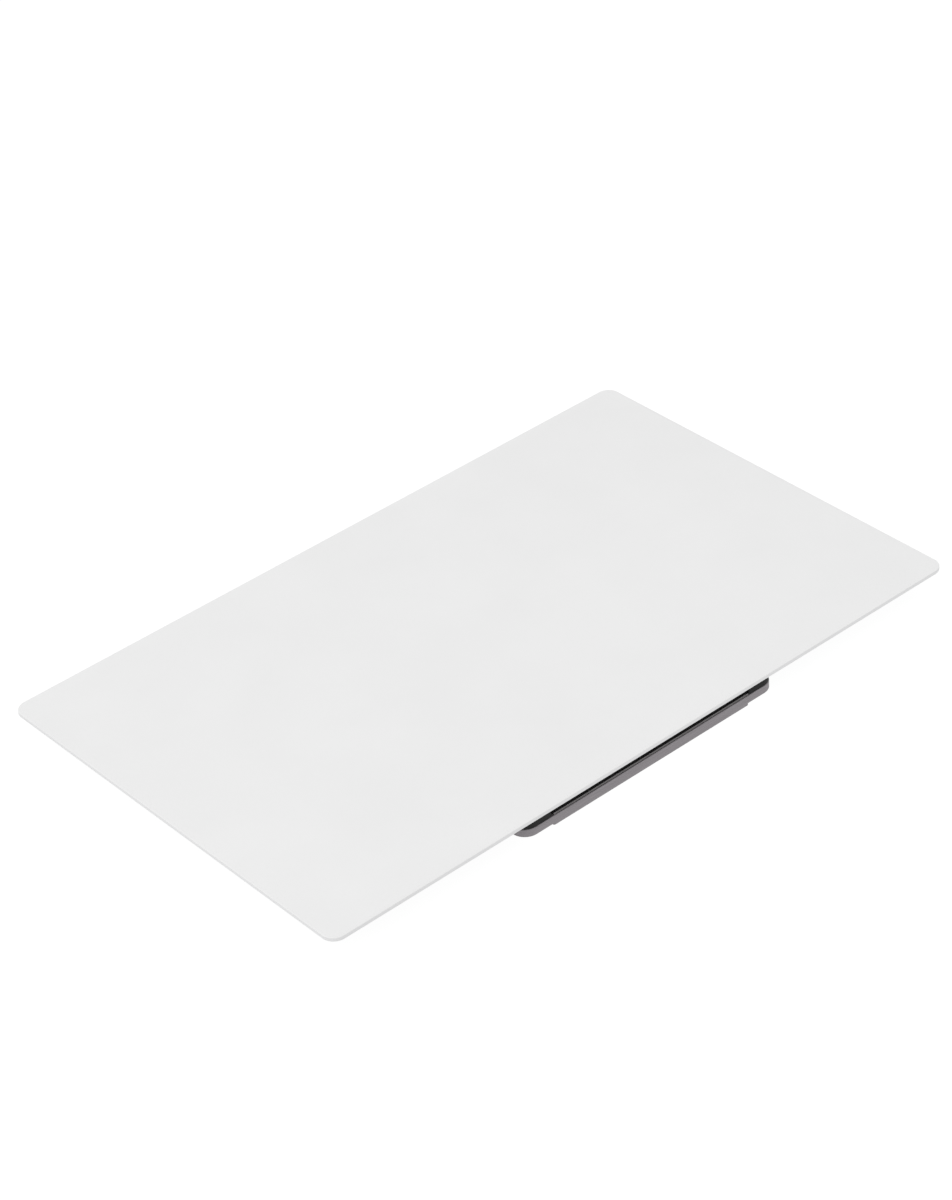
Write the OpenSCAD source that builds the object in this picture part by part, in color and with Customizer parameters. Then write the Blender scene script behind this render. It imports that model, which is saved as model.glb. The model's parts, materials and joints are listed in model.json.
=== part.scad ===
// Haptic trackpad module for a portable computer. A glass touch plate sinks on four spring leaves,
// which carry strain gauges, and an electromagnet in the front bracket shakes it on four gel pads.
// Frame, in millimetres: X across the width, Y from the front edge to the rear, Z up.
// The origin lies under the middle of the plate, on the plane that the module rests on.

/* [Touch plate] */
// Width of the glass plate
plate_w = 134; // [126:1:150]
// Depth of the glass plate, front to rear
plate_d = 83; // [78:1:96]
// Thickness of the glass plate
plate_t = 0.8; // [0.5:0.05:1.2]
// Corner radius of the glass plate
plate_r = 2.4; // [1.5:0.1:6]
// Ground chamfer round the edges of the glass
plate_chamfer = 0.12; // [0.05:0.01:0.2]
// Thickness of the film that bonds the glass to the board
film_t = 0.1; // [0.05:0.01:0.3]
// Step from the edge of the glass in to the film
film_inset = 0.6; // [0.3:0.1:1.1]
// Thickness of the sensor board
board_t = 0.8; // [0.6:0.05:1.2]
// Step from the edge of the glass in to the board
board_inset = 1.6; // [1.3:0.1:3]

/* [Front bracket] */
// Width of the bracket over its two tabs
bracket_w = 55.5; // [50:0.5:64]
// Width of the deeper middle of the bracket
mid_w = 43; // [40:0.5:46]
// Step from the front edge of the glass in to the bracket
bracket_inset = 1.25; // [0.8:0.05:2.5]
// Height of the bracket's walls above the plane it rests on
wall_h = 1.9; // [1.6:0.05:2.2]
// Height of the tabs' undersides above that plane
tab_lift = 0.4; // [0.2:0.05:0.6]
// Plan radius of the tabs' corners
tab_r = 2.7; // [1:0.1:3]
// Broken edge round the bracket
bracket_chamfer = 0.1; // [0.05:0.01:0.15]
// Thickness of the tray's walls
tray_wall = 0.8; // [0.6:0.05:1.2]
// Thickness of the tray's floor
tray_floor = 0.5; // [0.4:0.05:0.65]
// Thickness of the flange behind the tray and of the rear bar
flange_t = 0.8; // [0.6:0.05:1]
// Depth of the flange behind the tray
flange_d = 10; // [9:0.5:13]
// Overlap of the flange and of the rear bar under the rails
lap = 6; // [5:0.5:7]
// Room under the flange for the heads of the screws
head_room = 0.45; // [0.4:0.05:0.7]
// Step from the tab's outline in to the rubber bumper
bumper_inset = 0.12; // [0.05:0.01:0.3]
// Depth of a bumper, front to rear
bumper_d = 7; // [6:0.5:9]
// Free height between a bumper and the board
bumper_clear = 0.25; // [0.22:0.01:0.4]

/* [Electromagnet] */
// Distance between neighbouring coils
coil_pitch = 10; // [9:0.25:10.5]
// Width of one leg of the core
leg_w = 4.4; // [3.6:0.1:4.8]
// Height of the core
core_h = 0.6; // [0.5:0.05:0.65]
// Length of one leg of the core
leg_l = 7.6; // [7:0.1:9]
// Depth of the bar that joins the legs
yoke_d = 2.4; // [2.2:0.1:3.2]
// Wall of a bobbin
bobbin_wall = 0.1; // [0.08:0.01:0.13]
// Thickness of a bobbin's end flange
bobbin_end = 0.3; // [0.2:0.05:0.5]
// Build of the winding beside the leg
coil_build = 1.2; // [0.8:0.05:1.4]
// Air gap between the legs and the armature's lip
pole_gap = 0.35; // [0.25:0.05:0.5]
// Thickness of the armature plate
armature_t = 0.3; // [0.25:0.05:0.45]
// Air gap between the tray and the armature plate
armature_gap = 0.28; // [0.25:0.01:0.4]
// Room behind the armature's lip
lip_clear = 0.45; // [0.3:0.05:0.7]

/* [Side rails] */
// Width of a side rail
rail_w = 24; // [23:0.5:28]
// Thickness of a side rail
rail_t = 0.8; // [0.6:0.05:1]
// Step from the side of the glass in to the rail
rail_side_inset = 5; // [4.5:0.5:7]
// Step from the front of the glass in to the rails
rail_front_inset = 9.5; // [8.5:0.5:11]
// Step from the rear of the glass in to the rails
rail_rear_inset = 7.5; // [6:0.5:10]
// Corner radius of a rail
rail_r = 3; // [2:0.25:4]
// Height of the rail's turned-down outer edge
rail_edge_h = 1.4; // [1.2:0.05:1.5]
// Depth of the rear bar
bar_d = 8; // [7:0.5:10]
// Height of the rear bar's turned-up edge
bar_edge_h = 1.6; // [1.3:0.05:2]
// Inside radius of a bend in sheet metal
bend_r = 0.2; // [0.1:0.05:0.3]

/* [Spring leaves] */
// Thickness of a spring leaf
leaf_t = 0.4; // [0.3:0.05:0.5]
// Length of a leaf's fixed root
root_l = 8; // [7:0.5:9]
// Width of a leaf's fixed root
root_w = 11; // [10:0.5:11.5]
// Gap between the roots of the two leaves on a rail
root_gap = 2; // [1:0.25:3]
// Width of the arm where it leaves the root
arm_w = 8; // [7:0.25:9]
// Width of the arm where it meets the tip
neck_w = 5.5; // [4.5:0.25:7]
// Length of a leaf's tip
tip_l = 9.6; // [9:0.2:11]
// Width of a leaf's tip
tip_w = 10; // [9:0.25:11]
// Thickness of the shim under the roots, which is the tip's room to sink
shim_t = 0.25; // [0.22:0.01:0.35]
// Thickness of a gel pad
gel_t = 0.8; // [0.7:0.05:1.2]
// Side of a gel pad
gel_w = 8; // [6:0.25:8.5]
// Length of a strain gauge
gauge_l = 5; // [4:0.25:6]
// Width of a strain gauge
gauge_w = 4; // [3:0.25:5]
// Thickness of a flexible printed tail
flex_t = 0.1; // [0.06:0.01:0.12]

/* [Fasteners] */
// Radius of a mounting nut's collar
nut_r = 2.3; // [2:0.1:2.5]
// Radius of a mounting nut's neck in the rail
nut_neck_r = 1.6; // [1.3:0.1:1.8]
// Radius of a mounting thread's tapping hole
thread_r = 0.8; // [0.6:0.05:1]
// Radius of a frame screw's shank
screw_r = 0.7; // [0.5:0.05:0.8]
// Radius of a frame screw's head
screw_head_r = 1.35; // [1.1:0.05:1.5]
// Height of a frame screw's head
screw_head_h = 0.36; // [0.3:0.02:0.4]
// Radius of a rivet's shank
rivet_r = 0.6; // [0.4:0.05:0.7]
// Radius of a rivet's head
rivet_head_r = 1; // [0.8:0.05:1.1]
// Height of a rivet's head
rivet_head_h = 0.25; // [0.15:0.05:0.3]

/* [Board parts] */
// Width of the shield can
can_w = 34; // [28:0.5:36]
// Depth of the shield can
can_d = 22; // [18:0.5:24]
// Height of the shield can
can_h = 1.15; // [1:0.05:1.3]
// Wall of the shield can and of the fence inside it
can_wall = 0.15; // [0.1:0.01:0.2]
// Width of the flex-cable socket
socket_w = 16; // [13:0.5:18]
// Depth of the flex-cable socket
socket_d = 4.4; // [4.2:0.1:5]
// Height of the flex-cable socket
socket_h = 1.1; // [1.05:0.05:1.3]
// Thickness of the socket's latch
latch_t = 0.42; // [0.34:0.02:0.44]
// Side of the touch controller
controller_w = 10; // [7:0.5:12]
// Side of the haptic driver
driver_w = 6; // [4:0.25:7]
// Side of the power inductor
inductor_w = 4; // [3:0.25:4.5]

/* [Hidden] */
$fn = 64;

// Clearances between pieces that fit in or round one another
slip_fit = 0.02;
leg_fit = 0.03;
core_fit = 0.25;
side_fit = 0.1;
relief = 0.5;
// How far a cut runs past the faces that it opens
cut_past = 1;

// Heights, from the resting plane up through the suspension to the glass
z_lap = head_room;
z_rail = z_lap + flange_t;
z_rail_top = z_rail + rail_t;
z_leaf = z_rail_top + shim_t;
z_leaf_top = z_leaf + leaf_t;
z_board = z_leaf_top + gel_t;
z_film = z_board + board_t;
z_glass = z_film + film_t;

// Heights in the electromagnet
z_armature = wall_h + armature_gap;
z_armature_top = z_armature + armature_t;
z_core = (tray_floor + wall_h) / 2 - core_h / 2;
z_core_top = z_core + core_h;
coil_room = 0.04;
coil_h = wall_h - tray_floor - 2 * coil_room;
lip_floor_gap = 0.35;
z_lip = tray_floor + lip_floor_gap;

// Places along Y in the electromagnet, front to rear
front_y = -plate_d / 2 + bracket_inset;
tray_y0 = front_y + tray_wall;
yoke_y = tray_y0 + core_fit;
leg_y = yoke_y + yoke_d;
pole_y = leg_y + leg_l;
lip_y = pole_y + pole_gap;
lip_back_y = lip_y + armature_t;
tray_y1 = lip_back_y + lip_clear;
tray_rear_y = tray_y1 + tray_wall;
tray_d = tray_rear_y - front_y;
flange_y1 = tray_rear_y + flange_d;
bobbin_step = 0.15;
pole_bare = 0.35;
bobbin_y0 = leg_y + bobbin_step;
bobbin_y1 = pole_y - pole_bare;
mid_r = 0.4;

// Places along X in the electromagnet
coil_xs = [for (i = [-1.5 : 1 : 1.5]) i * coil_pitch];
bore_w = leg_w + 2 * leg_fit;
bore_h = core_h + 2 * leg_fit;
tube_w = bore_w + 2 * bobbin_wall;
tube_h = bore_h + 2 * bobbin_wall;
coil_w = tube_w + 2 * slip_fit + 2 * coil_build;
coil_r = 0.4;
core_end = 1;
core_w = 3 * coil_pitch + leg_w + 2 * core_end;
core_rivet_xs = [for (i = [-1 : 1]) i * coil_pitch];
sink_h = 0.35;
tab_hole_x = (mid_w + bracket_w) / 4;
tab_hole_y = front_y + bumper_d / 2;
spacer_step = 0.5;
thread_relief = 0.3;

// Flexible tails
tail_w = 3.2;
strip_w = 2.6;
tail_lead = 0.5;
tail_run = 5;
tail_bond = 5;
coil_tail_run = 8;
coil_strip_d = 1.2;
lip_notch = tail_w + 1;

// Outline of the rails, the flange and the rear bar
rail_out_x = plate_w / 2 - rail_side_inset;
rail_in_x = rail_out_x - rail_w;
rail_x = (rail_out_x + rail_in_x) / 2;
rail_y0 = -plate_d / 2 + rail_front_inset;
rail_y1 = plate_d / 2 - rail_rear_inset;
rail_y = (rail_y0 + rail_y1) / 2;
rail_l = rail_y1 - rail_y0;
lap_x = rail_in_x + lap;
screw_x = rail_in_x + lap / 2;
flange_y = (tray_rear_y + flange_y1) / 2;
bar_end_step = 1;
bar_edge_step = 2;
bar_y1 = rail_y1 - bar_end_step;
bar_y0 = bar_y1 - bar_d;
bar_y = (bar_y0 + bar_y1) / 2;
sheet_corner = 1.5;
board_corner = 1.5;
flange_fillet = 2;
flange_window_w = 15;
flange_window_d = flange_d / 2;
flange_window_r = 1;
flange_window_step = 4;
flange_window_x = tail_w / 2 + flange_window_step + flange_window_w / 2;
rail_slot_l = 9;
rail_slot_d = 2.4;
rail_slot_edge = 4;
bar_slot_l = 12;
bar_slot_d = 3;

// Frame screws and mounting nuts, on the right-hand side
screw_step = 2.3;
screw_hole_play = 0.15;
screw_drive_r = 0.65;
screw_drive_h = 0.22;
screw_ys = [flange_y - screw_step, flange_y + screw_step, bar_y - screw_step, bar_y + screw_step];
nut_edge_wall = 0.5;
nut_end_wall = 2.2;
nut_in_wall = 1.2;
nut_edge = nut_r + rail_t + nut_edge_wall;
nut_end = nut_r + nut_end_wall;
nut_spots = [
    [rail_out_x - nut_edge, rail_y0 + nut_end],
    [rail_out_x - nut_edge, rail_y1 - nut_end],
    [rail_in_x + nut_r + nut_in_wall, rail_y]
];

// A leaf, along Y from the middle of its rail outwards
leaf_y0 = root_gap / 2;
root_y1 = leaf_y0 + root_l;
tip_step = 1;
leaf_y1 = rail_l / 2 - tip_step;
tip_y0 = leaf_y1 - tip_l;
gel_y = leaf_y1 - tip_l / 2;
leaf_corner = 1;
rivet_wall = 0.8;
rivet_x = root_w / 2 - rivet_head_r - rivet_wall;
rivet_y = leaf_y0 + root_l / 2;
window_step = 1.2;
gauge_step = 0.8;
gauge_y0 = root_y1 + gauge_step;
gauge_t = 0.08;

// Parts on the underside of the board
can_x = -8;
can_y = 4;
can_r = 1;
fence_h = 0.8;
vent_r = 0.55;
vent_pitch = 2.6;
vent_edge = 4;
controller_x = -13;
controller_h = 0.75;
socket_x = 22;
socket_y = 14;
driver_spot = [17, -2];
driver_h = 0.85;
memory_spot = [26.5, 6];
memory_size = [5, 4, 0.6];
sensor_spot = [30, -9];
sensor_size = [3, 3, 0.9];
inductor_spot = [24.5, -3];
inductor_h = 1;
inductor_r = 0.6;
cap_l = 1.6;
cap_w = 0.8;
cap_h = 0.75;
cap_end = 0.35;
cap_pitch = 1.7;
// Rows of capacitors, each as x, y, count
cap_rows = [[-22, 18.2, 8], [-4, 18.2, 6], [12.2, 4, 3], [16, -9, 6], [-22, -10.2, 6], [20, 9.4, 5]];

// Latch of the socket, seen from the end of the socket
socket_ear = 1;
socket_back = 2.2;
tongue_t = 0.55;
slot_h = 0.3;
pivot_r = latch_t / 2;
latch_turn_gap = 0.25;
latch_recess = 0.03;
pivot_y = socket_y + socket_back + pivot_r + latch_turn_gap;
pivot_z = z_board - socket_h + pivot_r + latch_recess;
pin_r = 0.12;
pin_l = 0.4;
latch_end_fit = 0.1;
latch_w = socket_w - 2 * socket_ear - 2 * latch_end_fit;
grip_w = 7;
grip_d = 0.4;
grip_t = 0.3;
mouth_side = 0.2;
mouth_depth = 3.6;
mouth_lip = 0.13;
latch_y1 = socket_y + socket_d;
contact_pitch = 0.7;
contact_w = 0.26;
contact_l = 0.6;
contact_t = 0.15;
contact_edge = 0.5;
contact_count = floor((latch_w - 2 * contact_edge) / contact_pitch);

SIDES = [["left", -1], ["right", 1]];
CORNERS = [["front_left", -1, -1], ["front_right", 1, -1], ["rear_left", -1, 1], ["rear_right", 1, 1]];

// A rounded rectangle about the origin
module rounded_rect(w, d, r) {
    square([w - 2 * r, d], center = true);
    square([w, d - 2 * r], center = true);
    for (sx = [-1, 1], sy = [-1, 1])
        translate([sx * (w / 2 - r), sy * (d / 2 - r)]) circle(r);
}

// A round cut through a sheet of thickness t whose lower face is at z
module sheet_hole(r, z, t) {
    translate([0, 0, z - cut_past]) cylinder(r = r, h = t + 2 * cut_past);
}

// A slot with round ends, along X about the origin
module round_slot(l, d) {
    square([l - d, d], center = true);
    for (sx = [-1, 1])
        translate([sx * (l - d) / 2, 0]) circle(d / 2);
}

// A plate with round corners whose upper and lower edges are broken by a chamfer
module chamfered_plate(w, d, r, t, c) {
    for (sx = [-1, 1], sy = [-1, 1])
        translate([sx * (w / 2 - r), sy * (d / 2 - r), 0])
            rotate_extrude()
                polygon([[0, 0], [r - c, 0], [r, c], [r, t - c], [r - c, t], [0, t]]);
    rotate([90, 0, 90]) linear_extrude(w - 2 * r, center = true) chamfered_section(d, t, c);
    rotate([90, 0, 0]) linear_extrude(d - 2 * r, center = true) chamfered_section(w, t, c);
}

// The section of such a plate across its width
module chamfered_section(w, t, c) {
    h = w / 2;
    polygon([[c - h, 0], [h - c, 0], [h, c], [h, t - c], [h - c, t], [c - h, t], [-h, t - c], [-h, c]]);
}

// The section of a sheet edge turned down: the sheet's top is on the X axis and ends at x = 0,
// and a flat lead as long as the sheet is thick runs back into it
module turned_edge(leg, t) {
    outer = bend_r + t;
    translate([-t, -t]) square(t);
    intersection() {
        translate([0, -outer]) difference() {
            circle(outer);
            circle(bend_r);
        }
        translate([0, -outer]) square(outer);
    }
    translate([bend_r, -leg]) square([t, leg - outer]);
}

// The section of a flexible tail that runs flat, rises in an S and runs flat again, along X
module tail_section(flat_a, run, flat_b, rise) {
    steps = 10;
    lower = concat(
        [[0, 0]],
        [for (i = [0 : steps]) [flat_a + run * i / steps, rise * (1 - cos(180 * i / steps)) / 2]],
        [[flat_a + run + flat_b, rise]]
    );
    upper = [for (i = [len(lower) - 1 : -1 : 0]) lower[i] + [0, flex_t]];
    polygon(concat(lower, upper));
}

// Children made for the right-hand side, placed on side s
module on_side(s) {
    if (s > 0) children();
    else mirror([1, 0, 0]) children();
}

// Children made about the middle of a rail, with the leaf along +Y, placed at a corner
module at_corner(sx, sy) {
    on_side(sx) translate([rail_x, rail_y, 0]) {
        if (sy > 0) children();
        else mirror([0, 1, 0]) children();
    }
}

// Children at each place of the rivets through one leaf's root
module at_leaf_rivets() {
    for (sx = [-1, 1])
        translate([sx * rivet_x, rivet_y, 0]) children();
}

// A block on the underside of the board
module board_block(spot, size) {
    translate([spot[0], spot[1], z_board - size[2]])
        linear_extrude(size[2]) square([size[0], size[1]], center = true);
}

// Touch plate

module glass_plate() {
    color("#ebebeb") translate([0, 0, z_glass])
        chamfered_plate(plate_w, plate_d, plate_r, plate_t, plate_chamfer);
}

module bond_film() {
    r = plate_r - film_inset;
    color("#202020") translate([0, 0, z_film])
        linear_extrude(film_t) rounded_rect(plate_w - 2 * film_inset, plate_d - 2 * film_inset, r);
}

module sensor_board() {
    w = plate_w - 2 * board_inset;
    d = plate_d - 2 * board_inset;
    color("#16181a") translate([0, 0, z_board])
        linear_extrude(board_t) rounded_rect(w, d, board_corner);
}

// Armature of the electromagnet, carried by the board

module armature_spacer() {
    y0 = front_y + spacer_step;
    w = mid_w - 2 * side_fit;
    color("#1a1a1a") translate([-w / 2, y0, z_armature_top])
        cube([w, lip_y - y0, z_board - z_armature_top]);
}

module armature_plate() {
    outer = bend_r + armature_t;
    bend_y = lip_back_y - outer;
    lip_l = (core_w - lip_notch) / 2;
    w = mid_w - 2 * side_fit;
    color("#5a5a5c") {
        translate([-w / 2, front_y, z_armature]) cube([w, bend_y - front_y, armature_t]);
        for (s = [-1, 1])
            translate([s * (lip_notch + lip_l) / 2, bend_y, z_armature_top])
                rotate([90, 0, 90]) linear_extrude(lip_l, center = true)
                    turned_edge(z_armature_top - z_lip, armature_t);
    }
}

// Parts on the underside of the board

module shield_fence() {
    w = can_w - 2 * can_wall - 2 * slip_fit;
    d = can_d - 2 * can_wall - 2 * slip_fit;
    r = can_r - can_wall;
    color("#c9c9c4") translate([can_x, can_y, z_board - fence_h])
        linear_extrude(fence_h) difference() {
            rounded_rect(w, d, r);
            rounded_rect(w - 2 * can_wall, d - 2 * can_wall, r - can_wall);
        }
}

module shield_can() {
    vent_nx = floor((can_w / 2 - vent_edge) / vent_pitch);
    vent_ny = floor((can_d / 2 - vent_edge) / vent_pitch);
    color("#d0d0cc") translate([can_x, can_y, z_board - can_h]) difference() {
        linear_extrude(can_h) rounded_rect(can_w, can_d, can_r);
        translate([0, 0, can_wall]) linear_extrude(can_h)
            rounded_rect(can_w - 2 * can_wall, can_d - 2 * can_wall, can_r - can_wall);
        for (i = [-vent_nx : vent_nx], j = [-vent_ny : vent_ny])
            translate([i * vent_pitch, j * vent_pitch, -can_wall]) cylinder(r = vent_r, h = 3 * can_wall);
    }
}

module touch_controller() {
    color("#222222") board_block([controller_x, can_y], [controller_w, controller_w, controller_h]);
}

module haptic_driver() {
    color("#222222") board_block(driver_spot, [driver_w, driver_w, driver_h]);
}

module memory_chip() {
    color("#222222") board_block(memory_spot, memory_size);
}

module motion_sensor() {
    color("#8c8c86") board_block(sensor_spot, sensor_size);
}

module power_inductor() {
    color("#4a4a4c") translate([inductor_spot[0], inductor_spot[1], z_board - inductor_h])
        linear_extrude(inductor_h) rounded_rect(inductor_w, inductor_w, inductor_r);
}

// Children at each place of a capacitor
module at_capacitors() {
    for (row = cap_rows, i = [0 : row[2] - 1])
        translate([row[0] + i * cap_pitch, row[1], z_board - cap_h]) children();
}

module capacitors() {
    color("#b89a6c") at_capacitors()
        translate([-cap_w / 2, -cap_l / 2 + cap_end, 0]) cube([cap_w, cap_l - 2 * cap_end, cap_h]);
}

module capacitor_ends() {
    color("#c8c8c8") at_capacitors()
        for (y = [-cap_l / 2, cap_l / 2 - cap_end])
            translate([-cap_w / 2, y, 0]) cube([cap_w, cap_end, cap_h]);
}

module socket_housing() {
    mouth_w = socket_w - 2 * socket_ear - 2 * mouth_side;
    z0 = z_board - socket_h;
    color("#e3ddcc") difference() {
        translate([socket_x - socket_w / 2, socket_y, z0]) cube([socket_w, socket_d, socket_h]);
        // Room for the latch, between the ears and under the tongue
        translate([socket_x - socket_w / 2 + socket_ear, socket_y + socket_back, z0 - cut_past])
            cube([socket_w - 2 * socket_ear, socket_d, socket_h - tongue_t + cut_past]);
        // Mouth for the flex cable
        translate([socket_x - mouth_w / 2, latch_y1 - mouth_depth, z_board - tongue_t + mouth_lip])
            cube([mouth_w, socket_d, slot_h]);
        // Bearings for the latch's pins
        translate([socket_x, pivot_y, pivot_z]) rotate([0, 90, 0])
            cylinder(r = pin_r + slip_fit, h = latch_w + 2 * pin_l + 2 * latch_end_fit, center = true);
    }
}

module socket_contacts() {
    first_x = socket_x - (contact_count - 1) * contact_pitch / 2;
    color("#c9a545")
        for (i = [0 : contact_count - 1])
            translate([first_x + i * contact_pitch, socket_y - contact_l, z_board - contact_t])
                translate([-contact_w / 2, 0, 0]) cube([contact_w, contact_l, contact_t]);
}

module socket_latch() {
    z0 = pivot_z - pivot_r;
    color("#3a2f2a") {
        translate([socket_x, pivot_y, pivot_z]) rotate([0, 90, 0]) {
            cylinder(r = pivot_r, h = latch_w, center = true);
            cylinder(r = pin_r, h = latch_w + 2 * pin_l, center = true);
        }
        translate([socket_x - latch_w / 2, pivot_y, z0]) cube([latch_w, latch_y1 - pivot_y, latch_t]);
        translate([socket_x - grip_w / 2, latch_y1, z0]) cube([grip_w, grip_d, grip_t]);
    }
}

// Front bracket and electromagnet

module front_bracket() {
    tray_w = mid_w - 2 * tray_wall;
    color("#858385") difference() {
        union() {
            translate([0, front_y + tray_d / 2, tab_lift])
                chamfered_plate(bracket_w, tray_d, tab_r, wall_h - tab_lift, bracket_chamfer);
            translate([0, front_y + tray_d / 2, 0])
                chamfered_plate(mid_w, tray_d, mid_r, wall_h, bracket_chamfer);
            translate([0, 0, z_lap]) linear_extrude(flange_t) flange_outline();
        }
        // Pocket for the coils, with a raised seat for the core's yoke
        translate([-tray_w / 2, leg_y, tray_floor]) cube([tray_w, tray_y1 - leg_y, wall_h]);
        translate([-tray_w / 2, tray_y0, z_core]) cube([tray_w, tray_y1 - tray_y0, wall_h]);
        // Countersunk holes of the core's rivets
        for (x = core_rivet_xs)
            translate([x, yoke_y + yoke_d / 2, 0]) core_rivet_hole();
        // Threaded holes in the tabs
        for (s = [-1, 1])
            translate([s * tab_hole_x, tab_hole_y, 0]) sheet_hole(thread_r, 0, wall_h);
        // Windows and screw holes in the flange
        for (s = [-1, 1])
            translate([s * flange_window_x, flange_y, z_lap - cut_past])
                linear_extrude(flange_t + 2 * cut_past)
                    rounded_rect(flange_window_w, flange_window_d, flange_window_r);
        for (s = [-1, 1], i = [0, 1])
            translate([s * screw_x, screw_ys[i], 0]) sheet_hole(screw_r + screw_hole_play, z_lap, flange_t);
    }
}

// The flange behind the tray, with round ends and a fillet where it meets the tabs
module flange_outline() {
    translate([0, flange_y]) rounded_rect(2 * lap_x, flange_d, sheet_corner);
    translate([-bracket_w / 2, tray_rear_y - tab_r]) square([bracket_w, 2 * tab_r]);
    for (s = [-1, 1])
        mirror([s < 0 ? 1 : 0, 0]) translate([bracket_w / 2, tray_rear_y - flange_fillet]) difference() {
            square(flange_fillet);
            translate([flange_fillet, 0]) circle(flange_fillet);
        }
}

// Hole for a rivet through the yoke's seat, countersunk from below
module core_rivet_hole() {
    sheet_hole(rivet_r + slip_fit, 0, wall_h);
    translate([0, 0, -slip_fit])
        cylinder(r1 = rivet_head_r + 2 * slip_fit, r2 = rivet_r + 2 * slip_fit, h = sink_h + slip_fit);
}

module core_rivets() {
    color("#a8a8a8")
        for (x = core_rivet_xs)
            translate([x, yoke_y + yoke_d / 2, 0]) {
                translate([0, 0, slip_fit]) cylinder(r = rivet_r, h = z_core_top - slip_fit);
                translate([0, 0, slip_fit]) cylinder(r1 = rivet_head_r, r2 = rivet_r, h = sink_h - slip_fit);
                translate([0, 0, z_core_top]) cylinder(r = rivet_head_r, h = rivet_head_h);
            }
}

module magnet_core() {
    color("#55524e") translate([0, 0, z_core]) linear_extrude(core_h) difference() {
        union() {
            translate([-core_w / 2, yoke_y]) square([core_w, yoke_d]);
            for (x = coil_xs)
                translate([x - leg_w / 2, yoke_y]) square([leg_w, pole_y - yoke_y]);
        }
        for (x = core_rivet_xs)
            translate([x, yoke_y + yoke_d / 2]) circle(rivet_r + slip_fit);
    }
}

// A length of tube round a leg of the core, along Y from y0 to y1
module leg_tube(x, y0, y1, w, h, r, hole_w, hole_h) {
    translate([x, y1, z_core + core_h / 2]) rotate([90, 0, 0]) linear_extrude(y1 - y0) difference() {
        rounded_rect(w, h, r);
        square([hole_w, hole_h], center = true);
    }
}

module bobbin(i) {
    x = coil_xs[i - 1];
    color("#d8d2c0") {
        leg_tube(x, bobbin_y0, bobbin_y1, tube_w, tube_h, bobbin_wall / 2, bore_w, bore_h);
        leg_tube(x, bobbin_y0, bobbin_y0 + bobbin_end, coil_w, coil_h, coil_r, bore_w, bore_h);
        leg_tube(x, bobbin_y1 - bobbin_end, bobbin_y1, coil_w, coil_h, coil_r, bore_w, bore_h);
    }
}

module coil(i) {
    y0 = bobbin_y0 + bobbin_end + slip_fit;
    y1 = bobbin_y1 - bobbin_end - slip_fit;
    hole_w = tube_w + 2 * slip_fit;
    hole_h = tube_h + 2 * slip_fit;
    color("#b5652f") leg_tube(coil_xs[i - 1], y0, y1, coil_w, coil_h, coil_r, hole_w, hole_h);
}

module coil_flex() {
    strip_l = 3 * coil_pitch + leg_w;
    color("#c08a3a") translate([0, 0, wall_h]) {
        translate([-strip_l / 2, bobbin_y1 - coil_strip_d, 0]) cube([strip_l, coil_strip_d, flex_t]);
        translate([0, bobbin_y1 - flex_t, 0]) rotate([90, 0, 90]) linear_extrude(tail_w, center = true)
            tail_section(tray_rear_y - bobbin_y1, coil_tail_run, tail_bond, z_board - flex_t - wall_h);
    }
}

module bumper(s) {
    w = bracket_w - 2 * bumper_inset;
    d = tray_d - 2 * bumper_inset;
    color("#191919") on_side(s) translate([0, 0, wall_h])
        linear_extrude(z_board - bumper_clear - wall_h) difference() {
            intersection() {
                translate([0, front_y + tray_d / 2]) rounded_rect(w, d, tab_r - bumper_inset);
                translate([mid_w / 2 + 2 * side_fit, front_y]) square([bracket_w, bumper_d]);
            }
            translate([tab_hole_x, tab_hole_y]) circle(thread_r + thread_relief);
        }
}

// Side rails, rear bar and what joins them

module rail(s) {
    outer = bend_r + rail_t;
    edge_l = rail_l - 2 * rail_r - 2 * relief;
    window_y0 = root_y1 + window_step;
    window_l = tip_y0 - window_step - window_y0;
    color("#b4b6b8") on_side(s) difference() {
        union() {
            translate([rail_x, rail_y, z_rail]) linear_extrude(rail_t) difference() {
                rounded_rect(rail_w, rail_l, rail_r);
                translate([rail_w / 2 - outer, -edge_l / 2 - relief]) square([rail_w, edge_l + 2 * relief]);
            }
            translate([rail_out_x - outer, rail_y, z_rail_top])
                rotate([90, 0, 0]) linear_extrude(edge_l, center = true) turned_edge(rail_edge_h, rail_t);
        }
        translate([rail_x, rail_y, z_rail - cut_past]) linear_extrude(rail_t + 2 * cut_past)
            for (sy = [-1, 1]) {
                // Window under the arm of each leaf
                translate([0, sy * (window_y0 + window_l / 2)])
                    rounded_rect(arm_w + 2 * window_step, window_l, leaf_corner);
                // Lightening slot beside each leaf
                translate([rail_w / 2 - rail_slot_edge, sy * root_y1])
                    rotate(90) round_slot(rail_slot_l, rail_slot_d);
            }
        for (sy = [-1, 1])
            translate([rail_x, rail_y, 0]) mirror([0, sy < 0 ? 1 : 0, 0])
                at_leaf_rivets() sheet_hole(rivet_r + slip_fit, z_rail, rail_t);
        for (spot = nut_spots)
            translate([spot[0], spot[1], 0]) sheet_hole(nut_neck_r + slip_fit, z_rail, rail_t);
        for (y = screw_ys)
            translate([screw_x, y, 0]) sheet_hole(screw_r + slip_fit, z_rail, rail_t);
    }
}

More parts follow.
